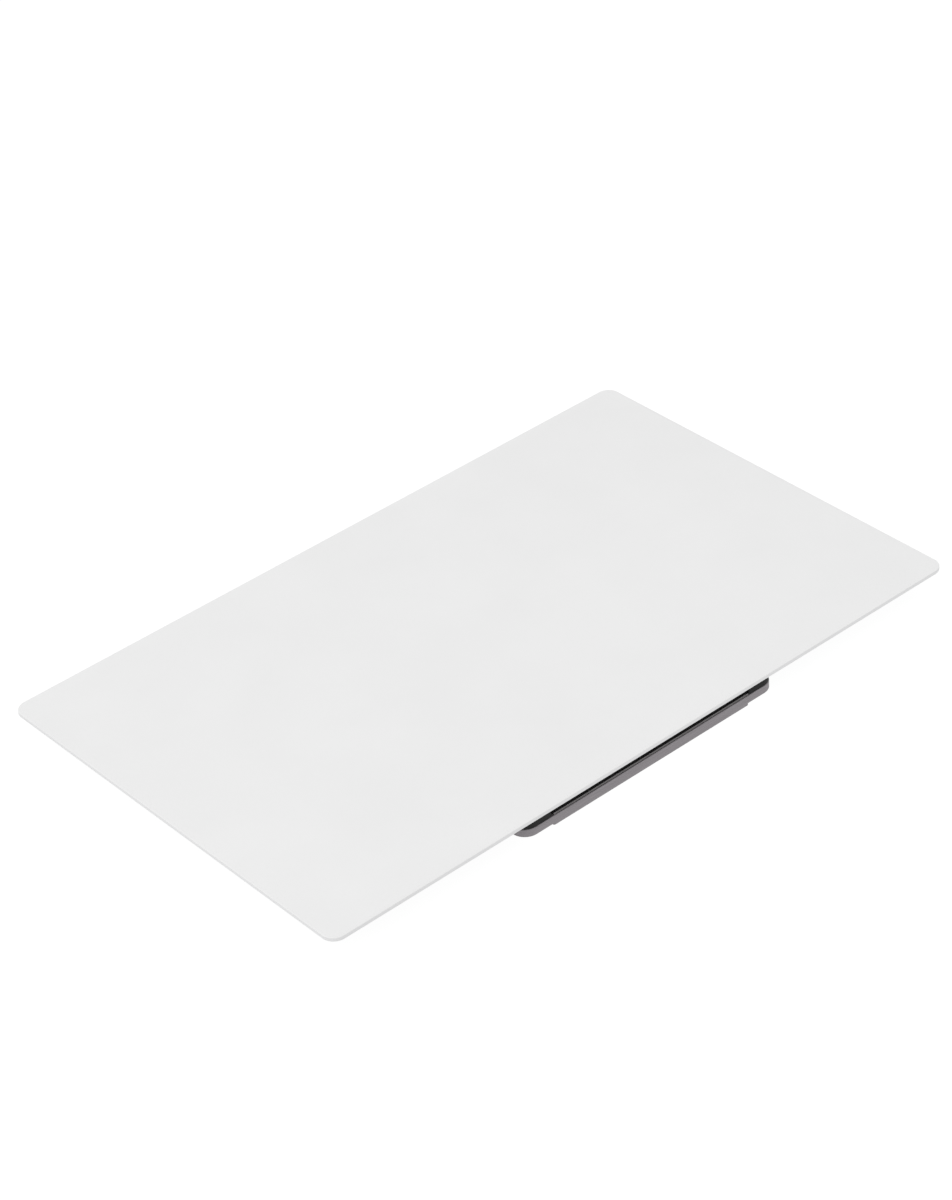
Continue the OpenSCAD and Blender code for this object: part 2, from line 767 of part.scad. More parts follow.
module rear_bar() {
    outer = bend_r + flange_t;
    edge_l = 2 * (rail_in_x - bar_edge_step);
    color("#b4b6b8") difference() {
        union() {
            translate([0, 0, z_lap]) linear_extrude(flange_t) difference() {
                translate([0, bar_y]) rounded_rect(2 * lap_x, bar_d, sheet_corner);
                translate([-edge_l / 2 - relief, bar_y1 - outer])
                    square([edge_l + 2 * relief, outer + cut_past]);
            }
            translate([0, bar_y1 - outer, z_lap]) mirror([0, 0, 1])
                rotate([90, 0, 90]) linear_extrude(edge_l, center = true) turned_edge(bar_edge_h, flange_t);
        }
        for (i = [-1.5 : 1 : 1.5])
            translate([i * edge_l / 4, bar_y - outer / 2, z_lap - cut_past])
                linear_extrude(flange_t + 2 * cut_past) round_slot(bar_slot_l, bar_slot_d);
        for (s = [-1, 1], i = [2, 3])
            translate([s * screw_x, screw_ys[i], 0]) sheet_hole(screw_r + screw_hole_play, z_lap, flange_t);
    }
}

module frame_screws() {
    color("#3c3c3e")
        for (s = [-1, 1], y = screw_ys)
            translate([s * screw_x, y, z_lap]) difference() {
                union() {
                    translate([0, 0, -screw_head_h]) cylinder(r = screw_head_r, h = screw_head_h);
                    cylinder(r = screw_r, h = flange_t + rail_t);
                }
                translate([0, 0, -2 * screw_head_h])
                    cylinder(r = screw_drive_r, h = screw_head_h + screw_drive_h, $fn = 6);
            }
}

module mount_nuts() {
    color("#c2a45c")
        for (s = [-1, 1], spot = nut_spots)
            translate([s * spot[0], spot[1], 0]) difference() {
                union() {
                    cylinder(r = nut_r, h = z_rail);
                    cylinder(r = nut_neck_r, h = z_rail_top);
                }
                sheet_hole(thread_r, 0, z_rail_top);
            }
}

// Spring leaves, strain gauges and gel pads

module leaf(sx, sy) {
    color("#9fa3a6") at_corner(sx, sy) translate([0, 0, z_leaf]) difference() {
        linear_extrude(leaf_t) {
            translate([0, leaf_y0 + root_l / 2]) rounded_rect(root_w, root_l, leaf_corner);
            polygon([
                [-arm_w / 2, root_y1 - leaf_corner], [arm_w / 2, root_y1 - leaf_corner],
                [neck_w / 2, tip_y0 + leaf_corner], [-neck_w / 2, tip_y0 + leaf_corner]
            ]);
            translate([0, gel_y]) rounded_rect(tip_w, tip_l, leaf_corner);
        }
        at_leaf_rivets() sheet_hole(rivet_r + slip_fit, 0, leaf_t);
    }
}

module leaf_shim(s) {
    color("#8a8c8e") on_side(s) translate([rail_x, rail_y, z_rail_top]) difference() {
        linear_extrude(shim_t) rounded_rect(root_w, 2 * root_y1, leaf_corner);
        for (sy = [-1, 1])
            mirror([0, sy < 0 ? 1 : 0, 0])
                at_leaf_rivets() sheet_hole(rivet_r + slip_fit, 0, shim_t);
    }
}

module leaf_rivets() {
    shank_l = z_leaf_top - z_rail;
    color("#a8a8a8")
        for (c = CORNERS)
            at_corner(c[1], c[2]) at_leaf_rivets() {
                translate([0, 0, z_rail - rivet_head_h]) cylinder(r = rivet_head_r, h = rivet_head_h);
                translate([0, 0, z_rail]) cylinder(r = rivet_r, h = shank_l);
                translate([0, 0, z_leaf_top]) cylinder(r = rivet_head_r, h = rivet_head_h);
            }
}

module strain_gauge(sx, sy) {
    color("#c77f2a") at_corner(sx, sy)
        translate([-gauge_w / 2, gauge_y0, z_leaf_top]) cube([gauge_w, gauge_l, gauge_t]);
}

module gauge_flex(s) {
    color("#c08a3a") on_side(s) translate([rail_x, rail_y, z_leaf_top]) {
        translate([-strip_w / 2, -gauge_y0, 0]) cube([strip_w, 2 * gauge_y0, flex_t]);
        mirror([1, 0, 0]) rotate([90, 0, 0]) linear_extrude(tail_w, center = true)
            tail_section(root_w / 2 + tail_lead, tail_run, tail_bond, z_board - flex_t - z_leaf_top);
    }
}

module gel_pad(sx, sy) {
    color("#6e7f86") at_corner(sx, sy) translate([0, gel_y, z_leaf_top])
        linear_extrude(gel_t) rounded_rect(gel_w, gel_w, leaf_corner);
}

glass_plate();
bond_film();
sensor_board();
armature_spacer();
armature_plate();
shield_fence();
shield_can();
touch_controller();
haptic_driver();
memory_chip();
motion_sensor();
power_inductor();
capacitors();
capacitor_ends();
socket_housing();
socket_contacts();
socket_latch();
front_bracket();
magnet_core();
core_rivets();
coil_flex();
rear_bar();
frame_screws();
mount_nuts();
leaf_rivets();
for (i = [1 : 4]) {
    bobbin(i);
    coil(i);
}
for (s = SIDES) {
    bumper(s[1]);
    rail(s[1]);
    leaf_shim(s[1]);
    gauge_flex(s[1]);
}
for (c = CORNERS) {
    leaf(c[1], c[2]);
    strain_gauge(c[1], c[2]);
    gel_pad(c[1], c[2]);
}
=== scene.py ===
# %% [markdown]
# A haptic trackpad module, as it comes out of a portable computer. A matt glass plate lies on four spring
# leaves and four gel pads. An electromagnet in the bracket under its front edge shakes it, so that a push
# feels like a click. The solids of the metal parts come ready made in the frame. This lesson gives every
# surface its finish, and models the pieces that are soft, thin, rounded or threaded.

# %% Load the frame
import json
import math
from contextlib import contextmanager

import bmesh
import bpy
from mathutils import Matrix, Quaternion, Vector


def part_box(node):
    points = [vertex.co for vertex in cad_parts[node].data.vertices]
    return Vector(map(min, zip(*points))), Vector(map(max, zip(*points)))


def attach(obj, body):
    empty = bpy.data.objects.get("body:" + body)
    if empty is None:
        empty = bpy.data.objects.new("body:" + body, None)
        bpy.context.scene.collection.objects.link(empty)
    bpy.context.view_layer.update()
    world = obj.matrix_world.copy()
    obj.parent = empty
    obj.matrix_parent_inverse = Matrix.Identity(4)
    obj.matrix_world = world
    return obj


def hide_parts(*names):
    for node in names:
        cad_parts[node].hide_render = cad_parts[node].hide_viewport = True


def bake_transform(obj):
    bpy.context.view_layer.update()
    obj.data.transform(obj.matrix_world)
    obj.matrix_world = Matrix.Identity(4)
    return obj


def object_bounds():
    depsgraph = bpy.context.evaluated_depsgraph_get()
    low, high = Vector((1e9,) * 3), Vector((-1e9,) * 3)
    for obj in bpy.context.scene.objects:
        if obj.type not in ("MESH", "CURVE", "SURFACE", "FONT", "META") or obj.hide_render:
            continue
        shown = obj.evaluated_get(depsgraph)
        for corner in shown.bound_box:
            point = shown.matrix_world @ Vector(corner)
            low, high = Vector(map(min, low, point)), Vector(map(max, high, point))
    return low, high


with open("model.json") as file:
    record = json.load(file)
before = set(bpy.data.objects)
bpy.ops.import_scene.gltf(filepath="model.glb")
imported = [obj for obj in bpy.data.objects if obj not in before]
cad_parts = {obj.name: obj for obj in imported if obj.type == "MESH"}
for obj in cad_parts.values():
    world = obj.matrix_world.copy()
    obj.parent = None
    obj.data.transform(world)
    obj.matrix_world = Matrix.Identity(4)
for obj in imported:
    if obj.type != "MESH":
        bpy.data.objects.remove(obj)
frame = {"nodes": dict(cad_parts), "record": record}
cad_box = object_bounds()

MM = 0.001
nodes = frame["nodes"]
cad_size = [round(side / MM, 2) for side in cad_box[1] - cad_box[0]]
print("nodes in the frame:", len(nodes), "size in mm:", cad_size)

# %% [markdown]
# The camera comes first. It could be turned by hand until the picture looks right, but the four corners of
# the plate are enough to work it out. It stands to the front left, looks down by about 35 degrees, and
# leans a little, because the picture was taken with the camera not quite level.

# %% Place the camera
plate_low, plate_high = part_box("glass_plate")
AIM = Vector((5.672 * MM, 8.683 * MM, plate_high.z))
DISTANCE = 585.79 * MM
AZIMUTH = math.radians(-38.588)
ELEVATION = math.radians(35.421)
ROLL = math.radians(-4.711)
LONG_SIDE = 36.0
LENS = 104.25
NEAREST = 10 * MM

across = math.cos(ELEVATION)
away = Vector((math.sin(AZIMUTH) * across, -math.cos(AZIMUTH) * across, math.sin(ELEVATION)))
bpy.ops.object.camera_add(location=AIM + away * DISTANCE)
camera = bpy.context.object
camera.rotation_mode = "QUATERNION"
camera.rotation_quaternion = (-away).to_track_quat("-Z", "Y") @ Quaternion((0, 0, 1), ROLL)
camera.data.sensor_fit = "AUTO"
camera.data.sensor_width = LONG_SIDE
camera.data.lens = LENS
camera.data.clip_start = NEAREST
bpy.context.scene.camera = camera
bpy.context.scene.view_settings.view_transform = "Standard"
print("camera at", [round(value, 3) for value in camera.location], "lens", LENS)

# %% [markdown]
# Every finish is made of nodes, with no pictures. Patterns read Object coordinates, which are metres here,
# so each helper takes the size of its pattern in real units. Values that are the same all over a surface
# are set on the shader itself, and only what changes from place to place is wired. The sky uses two of
# these helpers too.

# %% Helpers for patterns and tones
def start_finish(name, colour, roughness, metallic=0.0, specular=0.5):
    """A new material and its shader, with the plain values set."""
    material = bpy.data.materials.new(name)
    material.use_nodes = True
    shader = material.node_tree.nodes["Principled BSDF"]
    shader.inputs["Base Color"].default_value = (*colour, 1)
    shader.inputs["Roughness"].default_value = roughness
    shader.inputs["Metallic"].default_value = metallic
    shader.inputs["Specular IOR Level"].default_value = specular
    return material, material.node_tree, shader


def coordinates(tree, cell, turn=0.0):
    """Object coordinates counted in cells, turned about Z."""
    source = tree.nodes.new("ShaderNodeTexCoord")
    mapping = tree.nodes.new("ShaderNodeMapping")
    mapping.vector_type = "TEXTURE"
    mapping.inputs["Scale"].default_value = cell
    mapping.inputs["Rotation"].default_value[2] = turn
    tree.links.new(source.outputs["Object"], mapping.inputs["Vector"])
    return mapping.outputs["Vector"]


def noise(tree, cell, detail=2.0):
    """Cloudy noise from 0 to 1, in blots about as large as the cell."""
    texture = tree.nodes.new("ShaderNodeTexNoise")
    texture.inputs["Scale"].default_value = 1.0
    texture.inputs["Detail"].default_value = detail
    tree.links.new(coordinates(tree, cell), texture.inputs["Vector"])
    return texture.outputs["Fac"]


def spread(tree, value, low, high, first=0.3, last=0.7):
    """Turns a value that runs from first to last into one that runs from low to high."""
    limits = tree.nodes.new("ShaderNodeMapRange")
    limits.inputs["From Min"].default_value = first
    limits.inputs["From Max"].default_value = last
    limits.inputs["To Min"].default_value = low
    limits.inputs["To Max"].default_value = high
    tree.links.new(value, limits.inputs["Value"])
    return limits.outputs["Result"]


def shades(tree, value, colours, first=0.3, last=0.7):
    """A colour that runs through the given colours as the value runs from first to last."""
    ramp = tree.nodes.new("ShaderNodeValToRGB")
    stops = ramp.color_ramp.elements
    while len(stops) < len(colours):
        stops.new(0.5)
    for index, colour in enumerate(colours):
        stops[index].position = first + (last - first) * index / (len(colours) - 1)
        stops[index].color = (*colour, 1)
    tree.links.new(value, ramp.inputs["Fac"])
    return ramp.outputs["Color"]


def mix_colours(tree, share, under, over):
    """One colour over another, by a share from 0 to 1."""
    mix = tree.nodes.new("ShaderNodeMix")
    mix.data_type = "RGBA"
    colour_under, colour_over = [socket for socket in mix.inputs if socket.type == "RGBA"]
    tree.links.new(share, mix.inputs["Factor"])
    tree.links.new(under, colour_under)
    colour_over.default_value = (*over, 1)
    return [socket for socket in mix.outputs if socket.type == "RGBA"][0]


def combine(tree, operation, first, second):
    """Two values, or a value and a number, put through one step of arithmetic."""
    node = tree.nodes.new("ShaderNodeMath")
    node.operation = operation
    tree.links.new(first, node.inputs[0])
    if isinstance(second, (int, float)):
        node.inputs[1].default_value = second
    else:
        tree.links.new(second, node.inputs[1])
    return node.outputs["Value"]


def weighted(tree, first, second, share):
    """Two patterns added up, with the given share of the first."""
    most = combine(tree, "MULTIPLY", first, share)
    rest = combine(tree, "MULTIPLY", second, 1 - share)
    return combine(tree, "ADD", most, rest)


print("helpers for patterns are ready")

# %% [markdown]
# Real edges are never quite sharp, and handling rubs them bright. These helpers round the light over an
# edge, without a change to the solid, tell where an edge is worn, and add fine relief.

# %% Helpers for edges and relief
EDGE_SAMPLES = 6


def broken_edges(tree, radius):
    """A normal that is rounded over the edges of a solid, as a deburred edge is."""
    rounding = tree.nodes.new("ShaderNodeBevel")
    rounding.samples = EDGE_SAMPLES
    rounding.inputs["Radius"].default_value = radius
    return rounding.outputs["Normal"]


def worn_edges(tree, rounded):
    """1 along the edges, where handling rubs a finish bright, and 0 on the faces."""
    face = tree.nodes.new("ShaderNodeNewGeometry")
    lean = tree.nodes.new("ShaderNodeVectorMath")
    lean.operation = "DOT_PRODUCT"
    tree.links.new(rounded, lean.inputs[0])
    tree.links.new(face.outputs["Normal"], lean.inputs[1])
    return spread(tree, lean.outputs["Value"], 1.0, 0.0, first=0.75, last=0.99)


def relief(tree, shader, height, depth, rounded=None):
    """Fine relief of the given depth, over the rounded edges where there are any."""
    bump = tree.nodes.new("ShaderNodeBump")
    bump.inputs["Distance"].default_value = depth
    tree.links.new(height, bump.inputs["Height"])
    if rounded is not None:
        tree.links.new(rounded, bump.inputs["Normal"])
    tree.links.new(bump.outputs["Normal"], shader.inputs["Normal"])


def paint(tree, shader, colour, roughness):
    """Wires a colour and a roughness that change from place to place."""
    tree.links.new(colour, shader.inputs["Base Color"])
    tree.links.new(roughness, shader.inputs["Roughness"])


def rub_edges(tree, rounded, amount, coat, bare):
    """The coat, with a bare colour that shows through along the edges."""
    rubbed = combine(tree, "MULTIPLY", worn_edges(tree, rounded), amount)
    return mix_colours(tree, rubbed, coat, bare)


def scaled(colour, factor):
    return [channel * factor for channel in colour]


def cube_cell(side):
    return (side, side, side)


FINISHES = {}
print("helpers for edges are ready")

# %% [markdown]
# The light is that of a plain white studio. One soft lamp overhead could do it, but the edges would then be
# dull. A pale sky lights the object from all round, a large soft box adds a little from the upper left, and
# a small one from the front. The sky looks white to the camera and in reflections, whatever light it gives.

# %% Light the studio
SKY_LIGHT = 0.85


def seen_directly(tree):
    """1 for what the camera, a reflection or a clear piece sees, and 0 for light that only fills in."""
    path = tree.nodes.new("ShaderNodeLightPath")
    total = path.outputs["Is Camera Ray"]
    for name in ("Is Glossy Ray", "Is Transmission Ray"):
        total = combine(tree, "MAXIMUM", total, path.outputs[name])
    return total


def make_sky():
    world = bpy.data.worlds.new("studio_sky")
    world.use_nodes = True
    bpy.context.scene.world = world
    tree = world.node_tree
    background = tree.nodes["Background"]
    background.inputs["Color"].default_value = (1, 1, 1, 1)
    strength = spread(tree, seen_directly(tree), SKY_LIGHT, 1.0, first=0.0, last=1.0)
    tree.links.new(strength, background.inputs["Strength"])


def add_soft_box(name, place, power, side):
    bpy.ops.object.light_add(type="AREA", location=place)
    lamp = bpy.context.object
    lamp.name = name
    lamp.rotation_mode = "QUATERNION"
    lamp.rotation_quaternion = (AIM - Vector(place)).to_track_quat("-Z", "Y")
    lamp.data.energy = power
    lamp.data.size = side
    print("lamp", name, power, "W")


make_sky()
add_soft_box("upper_left_box", place=(-1.5, 0.12, 1.5), power=11.0, side=1.75)
add_soft_box("front_box", place=(0.35, -0.75, 0.4), power=0.35, side=0.5)

# %% [markdown]
# The floor is white and keeps a soft, faint shadow. A white diffuse plane would turn grey in weak light, so
# most of its white is a glow, and a weak diffuse part adds the shading. It stays out of the light that
# reaches the object, which the sky gives from below as well, and it shows only from above, so that the
# underside can be looked at too.

# %% Lay the white floor
FLOOR_GLOW = 0.96
FLOOR_SHADED = 0.1
FLOOR_SIDE = 8.0
FLOOR_DROP = 0.05 * MM


def floor_finish():
    material = bpy.data.materials.new("studio_floor")
    material.use_nodes = True
    tree = material.node_tree
    tree.nodes.remove(tree.nodes["Principled BSDF"])
    glow = tree.nodes.new("ShaderNodeEmission")
    glow.inputs["Strength"].default_value = FLOOR_GLOW
    shaded = tree.nodes.new("ShaderNodeBsdfDiffuse")
    shaded.inputs["Color"].default_value = (FLOOR_SHADED, FLOOR_SHADED, FLOOR_SHADED, 1)
    shown = tree.nodes.new("ShaderNodeAddShader")
    tree.links.new(glow.outputs["Emission"], shown.inputs[0])
    tree.links.new(shaded.outputs["BSDF"], shown.inputs[1])
    face = tree.nodes.new("ShaderNodeNewGeometry")
    clear = tree.nodes.new("ShaderNodeBsdfTransparent")
    one_sided = tree.nodes.new("ShaderNodeMixShader")
    tree.links.new(face.outputs["Backfacing"], one_sided.inputs["Fac"])
    tree.links.new(shown.outputs["Shader"], one_sided.inputs[1])
    tree.links.new(clear.outputs["BSDF"], one_sided.inputs[2])
    tree.links.new(one_sided.outputs["Shader"], tree.nodes["Material Output"].inputs["Surface"])
    return material


bpy.ops.object.select_all(action="DESELECT")
bpy.ops.mesh.primitive_plane_add(size=FLOOR_SIDE, location=(0, 0, -FLOOR_DROP))
floor = bpy.context.object
floor.name = "floor"
floor.data.materials.append(floor_finish())
floor.visible_diffuse = False
floor.visible_shadow = False
print("floor side in m:", FLOOR_SIDE)

# %% [markdown]
# The touch plate is glass, printed silver-white on its back and etched matt on its face. It could be made
# as clear glass over a print, but the etching hides that depth. A pale body with a satin gloss and a very
# fine, soft grain gives the same even look. The ground rim is painted greyer, partly because it has no
# print behind it and partly as painted shade on the upright edges. The upward part of the normal tells the
# rim from the face.

# %% Finish: etched glass
def etched_glass():
    pale = (0.815, 0.815, 0.815)
    # Rim colour: greyer for the unprinted ground edge, and darker still as painted shade on the upright
    # edges.
    rim_grey_with_painted_shade = (0.73, 0.73, 0.735)
    material, tree, shader = start_finish("etched_glass", pale, roughness=0.4)
    clouds = noise(tree, cube_cell(14 * MM), detail=3.0)
    etching = noise(tree, cube_cell(0.12 * MM))
    print_tones = shades(tree, clouds, [scaled(pale, 0.99), scaled(pale, 1.01)])
    source = tree.nodes.new("ShaderNodeTexCoord")
    parts = tree.nodes.new("ShaderNodeSeparateXYZ")
    tree.links.new(source.outputs["Normal"], parts.inputs["Vector"])
    flatness = combine(tree, "MULTIPLY", parts.outputs["Z"], parts.outputs["Z"])
    # Share of the rim colour, 1 on upright faces: partly the unprinted edge, partly painted shade.
    rim = spread(tree, flatness, 1.0, 0.0, first=0.02, last=0.5)
    paint(tree, shader, mix_colours(tree, rim, print_tones, rim_grey_with_painted_shade), spread(tree, etching, 0.36, 0.46))
    relief(tree, shader, etching, depth=0.0012 * MM)
    return material


FINISHES["plate_glass"] = etched_glass()
print("finishes:", len(FINISHES))

# %% [markdown]
# The bracket is cast and coated in a dark, slightly warm grey. A plain grey paint would look like plastic,
# so the coat has a metal's sheen, a fine grain as from blasting, faint lengthwise streaks, and edges that
# are rubbed paler.

# %% Finish: coated bracket
def coated_metal():
    grey = (0.235, 0.218, 0.230)
    bare = (0.5, 0.49, 0.5)
    material, tree, shader = start_finish("coated_metal", grey, roughness=0.45, metallic=0.35)
    grain = noise(tree, cube_cell(0.09 * MM), detail=3.0)
    streaks = noise(tree, (5 * MM, 0.16 * MM, 0.16 * MM), detail=3.0)
    mottle = weighted(tree, grain, streaks, share=0.4)
    tones = [scaled(grey, 0.84), grey, scaled(grey, 1.14)]
    coat = shades(tree, mottle, tones, first=0.35, last=0.65)
    rounded = broken_edges(tree, radius=0.1 * MM)
    rubbed = rub_edges(tree, rounded, 0.35, coat, bare)
    paint(tree, shader, rubbed, spread(tree, mottle, 0.36, 0.54))
    relief(tree, shader, grain, depth=0.003 * MM, rounded=rounded)
    return material


FINISHES["bracket_metal"] = coated_metal()
print("finishes:", len(FINISHES))

# %% [markdown]
# The rails, the leaves and the thin plates are rolled steel sheet. Rolling leaves long, fine streaks in one
# direction, which is what tells steel from grey paint. Noise that is stretched along the sheet gives the
# streaks, and they change the gloss more than the colour.

# %% Finish: rolled steel sheets
def rolled_steel(name, colour, streak, dull, bright):
    """Steel sheet with streaks of the given cell, whose roughness runs from bright to dull."""
    bare = (0.75, 0.75, 0.75)
    material, tree, shader = start_finish(name, colour, dull, metallic=1.0)
    lines = noise(tree, streak, detail=4.0)
    clouds = noise(tree, cube_cell(5 * MM), detail=3.0)
    marks = weighted(tree, lines, clouds, share=0.7)
    tones = [scaled(colour, 0.86), colour, scaled(colour, 1.1)]
    sheet = shades(tree, marks, tones, first=0.35, last=0.65)
    rounded = broken_edges(tree, radius=0.06 * MM)
    rubbed = rub_edges(tree, rounded, 0.4, sheet, bare)
    paint(tree, shader, rubbed, spread(tree, marks, bright, dull))
    relief(tree, shader, lines, depth=0.0015 * MM, rounded=rounded)
    return material


ALONG_Y = (0.07 * MM, 7 * MM, 0.07 * MM)
ALONG_X = (7 * MM, 0.07 * MM, 0.07 * MM)
EVEN_GRAIN = cube_cell(0.2 * MM)
STEELS = {
    "rail_steel": ((0.56, 0.565, 0.575), ALONG_Y, 0.42, 0.24),
    "leaf_steel": ((0.36, 0.36, 0.355), ALONG_Y, 0.34, 0.18),
    "shim_steel": ((0.36, 0.37, 0.38), ALONG_Y, 0.4, 0.26),
    "armature_steel": ((0.124, 0.118, 0.119), ALONG_X, 0.55, 0.38),
    "rivet_steel": ((0.6, 0.6, 0.6), EVEN_GRAIN, 0.36, 0.22),
}
for name, (colour, streak, dull, bright) in STEELS.items():
    FINISHES[name] = rolled_steel(name, colour, streak, dull, bright)
print("finishes:", len(FINISHES))

# %% [markdown]
# The shield can, the lid of the motion sensor and the soldered ends are tinned. Hot tin sets in soft,
# uneven patches called spangle. A cell pattern in the gloss gives the patches, with hardly any change of
# colour.

# %% Finish: tin
def tinned(name, colour, patch):
    material, tree, shader = start_finish(name, colour, roughness=0.34, metallic=1.0)
    cells = tree.nodes.new("ShaderNodeTexVoronoi")
    cells.inputs["Scale"].default_value = 1.0
    tree.links.new(coordinates(tree, cube_cell(patch)), cells.inputs["Vector"])
    tone = tree.nodes.new("ShaderNodeSeparateColor")
    tree.links.new(cells.outputs["Color"], tone.inputs["Color"])
    ripple = noise(tree, cube_cell(patch / 3), detail=3.0)
    spangle = weighted(tree, tone.outputs["Red"], ripple, share=0.5)
    skin = shades(tree, spangle, [scaled(colour, 0.9), scaled(colour, 1.05)], first=0.2, last=0.8)
    paint(tree, shader, skin, spread(tree, spangle, 0.25, 0.45, first=0.2, last=0.8))
    relief(tree, shader, ripple, depth=0.004 * MM, rounded=broken_edges(tree, radius=0.08 * MM))
    return material


TINS = {
    "tinned_steel": ((0.66, 0.66, 0.64), 1.4 * MM),
    "sensor_lid": ((0.58, 0.58, 0.55), 0.7 * MM),
    "solder_tin": ((0.7, 0.7, 0.71), 0.3 * MM),
}
for name, (colour, patch) in TINS.items():
    FINISHES[name] = tinned(name, colour, patch)
print("finishes:", len(FINISHES))

# %% [markdown]
# Chips, spacers, bobbins and the socket are moulded. Moulded plastic is never quite even: it has a fine
# grain from the tool and slight clouds of gloss. One function serves them all, with the grain coarse on
# filled resin and fine on clean plastic.

# %% Finish: moulded plastic, resin and rubber
def moulded(name, colour, roughness, grain_size, depth, contrast, specular):
    material, tree, shader = start_finish(name, colour, roughness, specular=specular)
    grain = noise(tree, cube_cell(grain_size), detail=3.0)
    clouds = noise(tree, cube_cell(12 * grain_size))
    mottle = weighted(tree, grain, clouds, share=0.5)
    tones = [scaled(colour, 1 - contrast), scaled(colour, 1 + contrast)]
    gloss = spread(tree, mottle, roughness - 0.07, roughness + 0.07)
    paint(tree, shader, shades(tree, mottle, tones), gloss)
    relief(tree, shader, grain, depth, rounded=broken_edges(tree, radius=0.05 * MM))
    return material


MOULDINGS = {
    "bond_film": ((0.02, 0.02, 0.02), 0.6, 0.2 * MM, 0.001 * MM, 0.12, 0.5),
    "black_spacer": ((0.012, 0.012, 0.012), 0.6, 0.15 * MM, 0.003 * MM, 0.12, 0.5),
    "chip_resin": ((0.05, 0.05, 0.052), 0.55, 0.08 * MM, 0.004 * MM, 0.3, 0.5),
    "ferrite": ((0.075, 0.073, 0.072), 0.55, 0.14 * MM, 0.006 * MM, 0.35, 0.5),
    "capacitor_ceramic": ((0.42, 0.27, 0.12), 0.42, 0.1 * MM, 0.002 * MM, 0.15, 0.5),
    "socket_plastic": ((0.74, 0.69, 0.57), 0.42, 0.2 * MM, 0.002 * MM, 0.04, 0.5),
    "latch_plastic": ((0.04, 0.028, 0.022), 0.4, 0.2 * MM, 0.002 * MM, 0.12, 0.5),
    "bobbin_plastic": ((0.66, 0.6, 0.47), 0.5, 0.2 * MM, 0.002 * MM, 0.05, 0.5),
    # The bumper rubber is near black: black rubber, with painted shade for the narrow gap under the plate.
    "bumper_rubber": ((0.009, 0.009, 0.009), 0.7, 0.11 * MM, 0.006 * MM, 0.25, 0.25),
}
for name, (colour, roughness, grain_size, depth, contrast, specular) in MOULDINGS.items():
    FINISHES[name] = moulded(name, colour, roughness, grain_size, depth, contrast, specular)
print("finishes:", len(FINISHES))

# %% [markdown]
# The underside of the sensor board is covered by black solder mask. Copper routes lie under it and show
# only as faint raised lines, in bundles that run along the board or across it. They could be modelled, but
# there are hundreds. The joints of two brick patterns are the routes. Noise chooses between the two and
# leaves gaps, and the result is used as relief and as a slight change of tone.

# %% Finish: solder mask over routes
ROUTE_PATTERN = {"Scale": 1.0, "Mortar Size": 0.13, "Brick Width": 7.0, "Row Height": 0.62}


def route_lines(tree, turn):
    """1 on a set of routes that run along X, turned about Z, and 0 between them."""
    bricks = tree.nodes.new("ShaderNodeTexBrick")
    for name, value in ROUTE_PATTERN.items():
        bricks.inputs[name].default_value = value
    tree.links.new(coordinates(tree, cube_cell(MM), turn), bricks.inputs["Vector"])
    return bricks.outputs["Fac"]


def solder_mask():
    dark = (0.010, 0.012, 0.012)
    routed = (0.026, 0.032, 0.031)
    material, tree, shader = start_finish("solder_mask", dark, roughness=0.36)
    patches = noise(tree, cube_cell(9 * MM), detail=1.0)
    high_patches = spread(tree, patches, 0.0, 1.0, first=0.53, last=0.54)
    low_patches = spread(tree, patches, 1.0, 0.0, first=0.45, last=0.46)
    along = combine(tree, "MULTIPLY", route_lines(tree, 0.0), high_patches)
    crosswise = combine(tree, "MULTIPLY", route_lines(tree, math.pi / 2), low_patches)
    routes = combine(tree, "MAXIMUM", along, crosswise)
    tones = shades(tree, routes, [dark, routed], first=0.0, last=1.0)
    orange_peel = noise(tree, cube_cell(0.5 * MM))
    paint(tree, shader, tones, spread(tree, orange_peel, 0.3, 0.42))
    relief(tree, shader, routes, depth=0.02 * MM)
    return material


FINISHES["board_mask"] = solder_mask()
print("finishes:", len(FINISHES))

# %% [markdown]
# Gold, brass, copper and blackened steel differ from the sheets in colour, and in how they were made. The
# nuts are turned, which leaves rings round their walls, so their noise is squeezed flat. The screws are
# blackened, and the black is rubbed off on their edges. The enamel on the copper wire makes it darker and
# redder than bare copper.

# %% Finish: gold, brass, copper and blackened steel
def fine_metal(name, colour, cell, bright, dull, edge_colour, wear):
    """Metal with marks of the given cell, whose edges are rubbed to a second colour."""
    material, tree, shader = start_finish(name, colour, dull, metallic=1.0)
    marks = noise(tree, cell, detail=3.0)
    body = shades(tree, marks, [scaled(colour, 0.85), scaled(colour, 1.1)])
    rounded = broken_edges(tree, radius=0.05 * MM)
    rubbed = rub_edges(tree, rounded, wear, body, edge_colour)
    paint(tree, shader, rubbed, spread(tree, marks, bright, dull))
    relief(tree, shader, marks, depth=0.002 * MM, rounded=rounded)
    return material


TURNED = (3 * MM, 3 * MM, 0.05 * MM)
FINE_GRAIN = cube_cell(0.12 * MM)
FINE_METALS = {
    "contact_gold": ((0.8, 0.57, 0.2), FINE_GRAIN, 0.2, 0.34, (0.9, 0.7, 0.3), 0.4),
    "nut_brass": ((0.66, 0.49, 0.2), TURNED, 0.22, 0.4, (0.85, 0.7, 0.4), 0.6),
    "screw_steel": ((0.06, 0.06, 0.064), FINE_GRAIN, 0.32, 0.5, (0.4, 0.4, 0.42), 0.7),
    "coil_copper": ((0.6, 0.21, 0.075), FINE_GRAIN, 0.22, 0.34, (0.7, 0.3, 0.12), 0.3),
}
for name, (colour, cell, bright, dull, edge_colour, wear) in FINE_METALS.items():
    FINISHES[name] = fine_metal(name, colour, cell, bright, dull, edge_colour, wear)
print("finishes:", len(FINISHES))

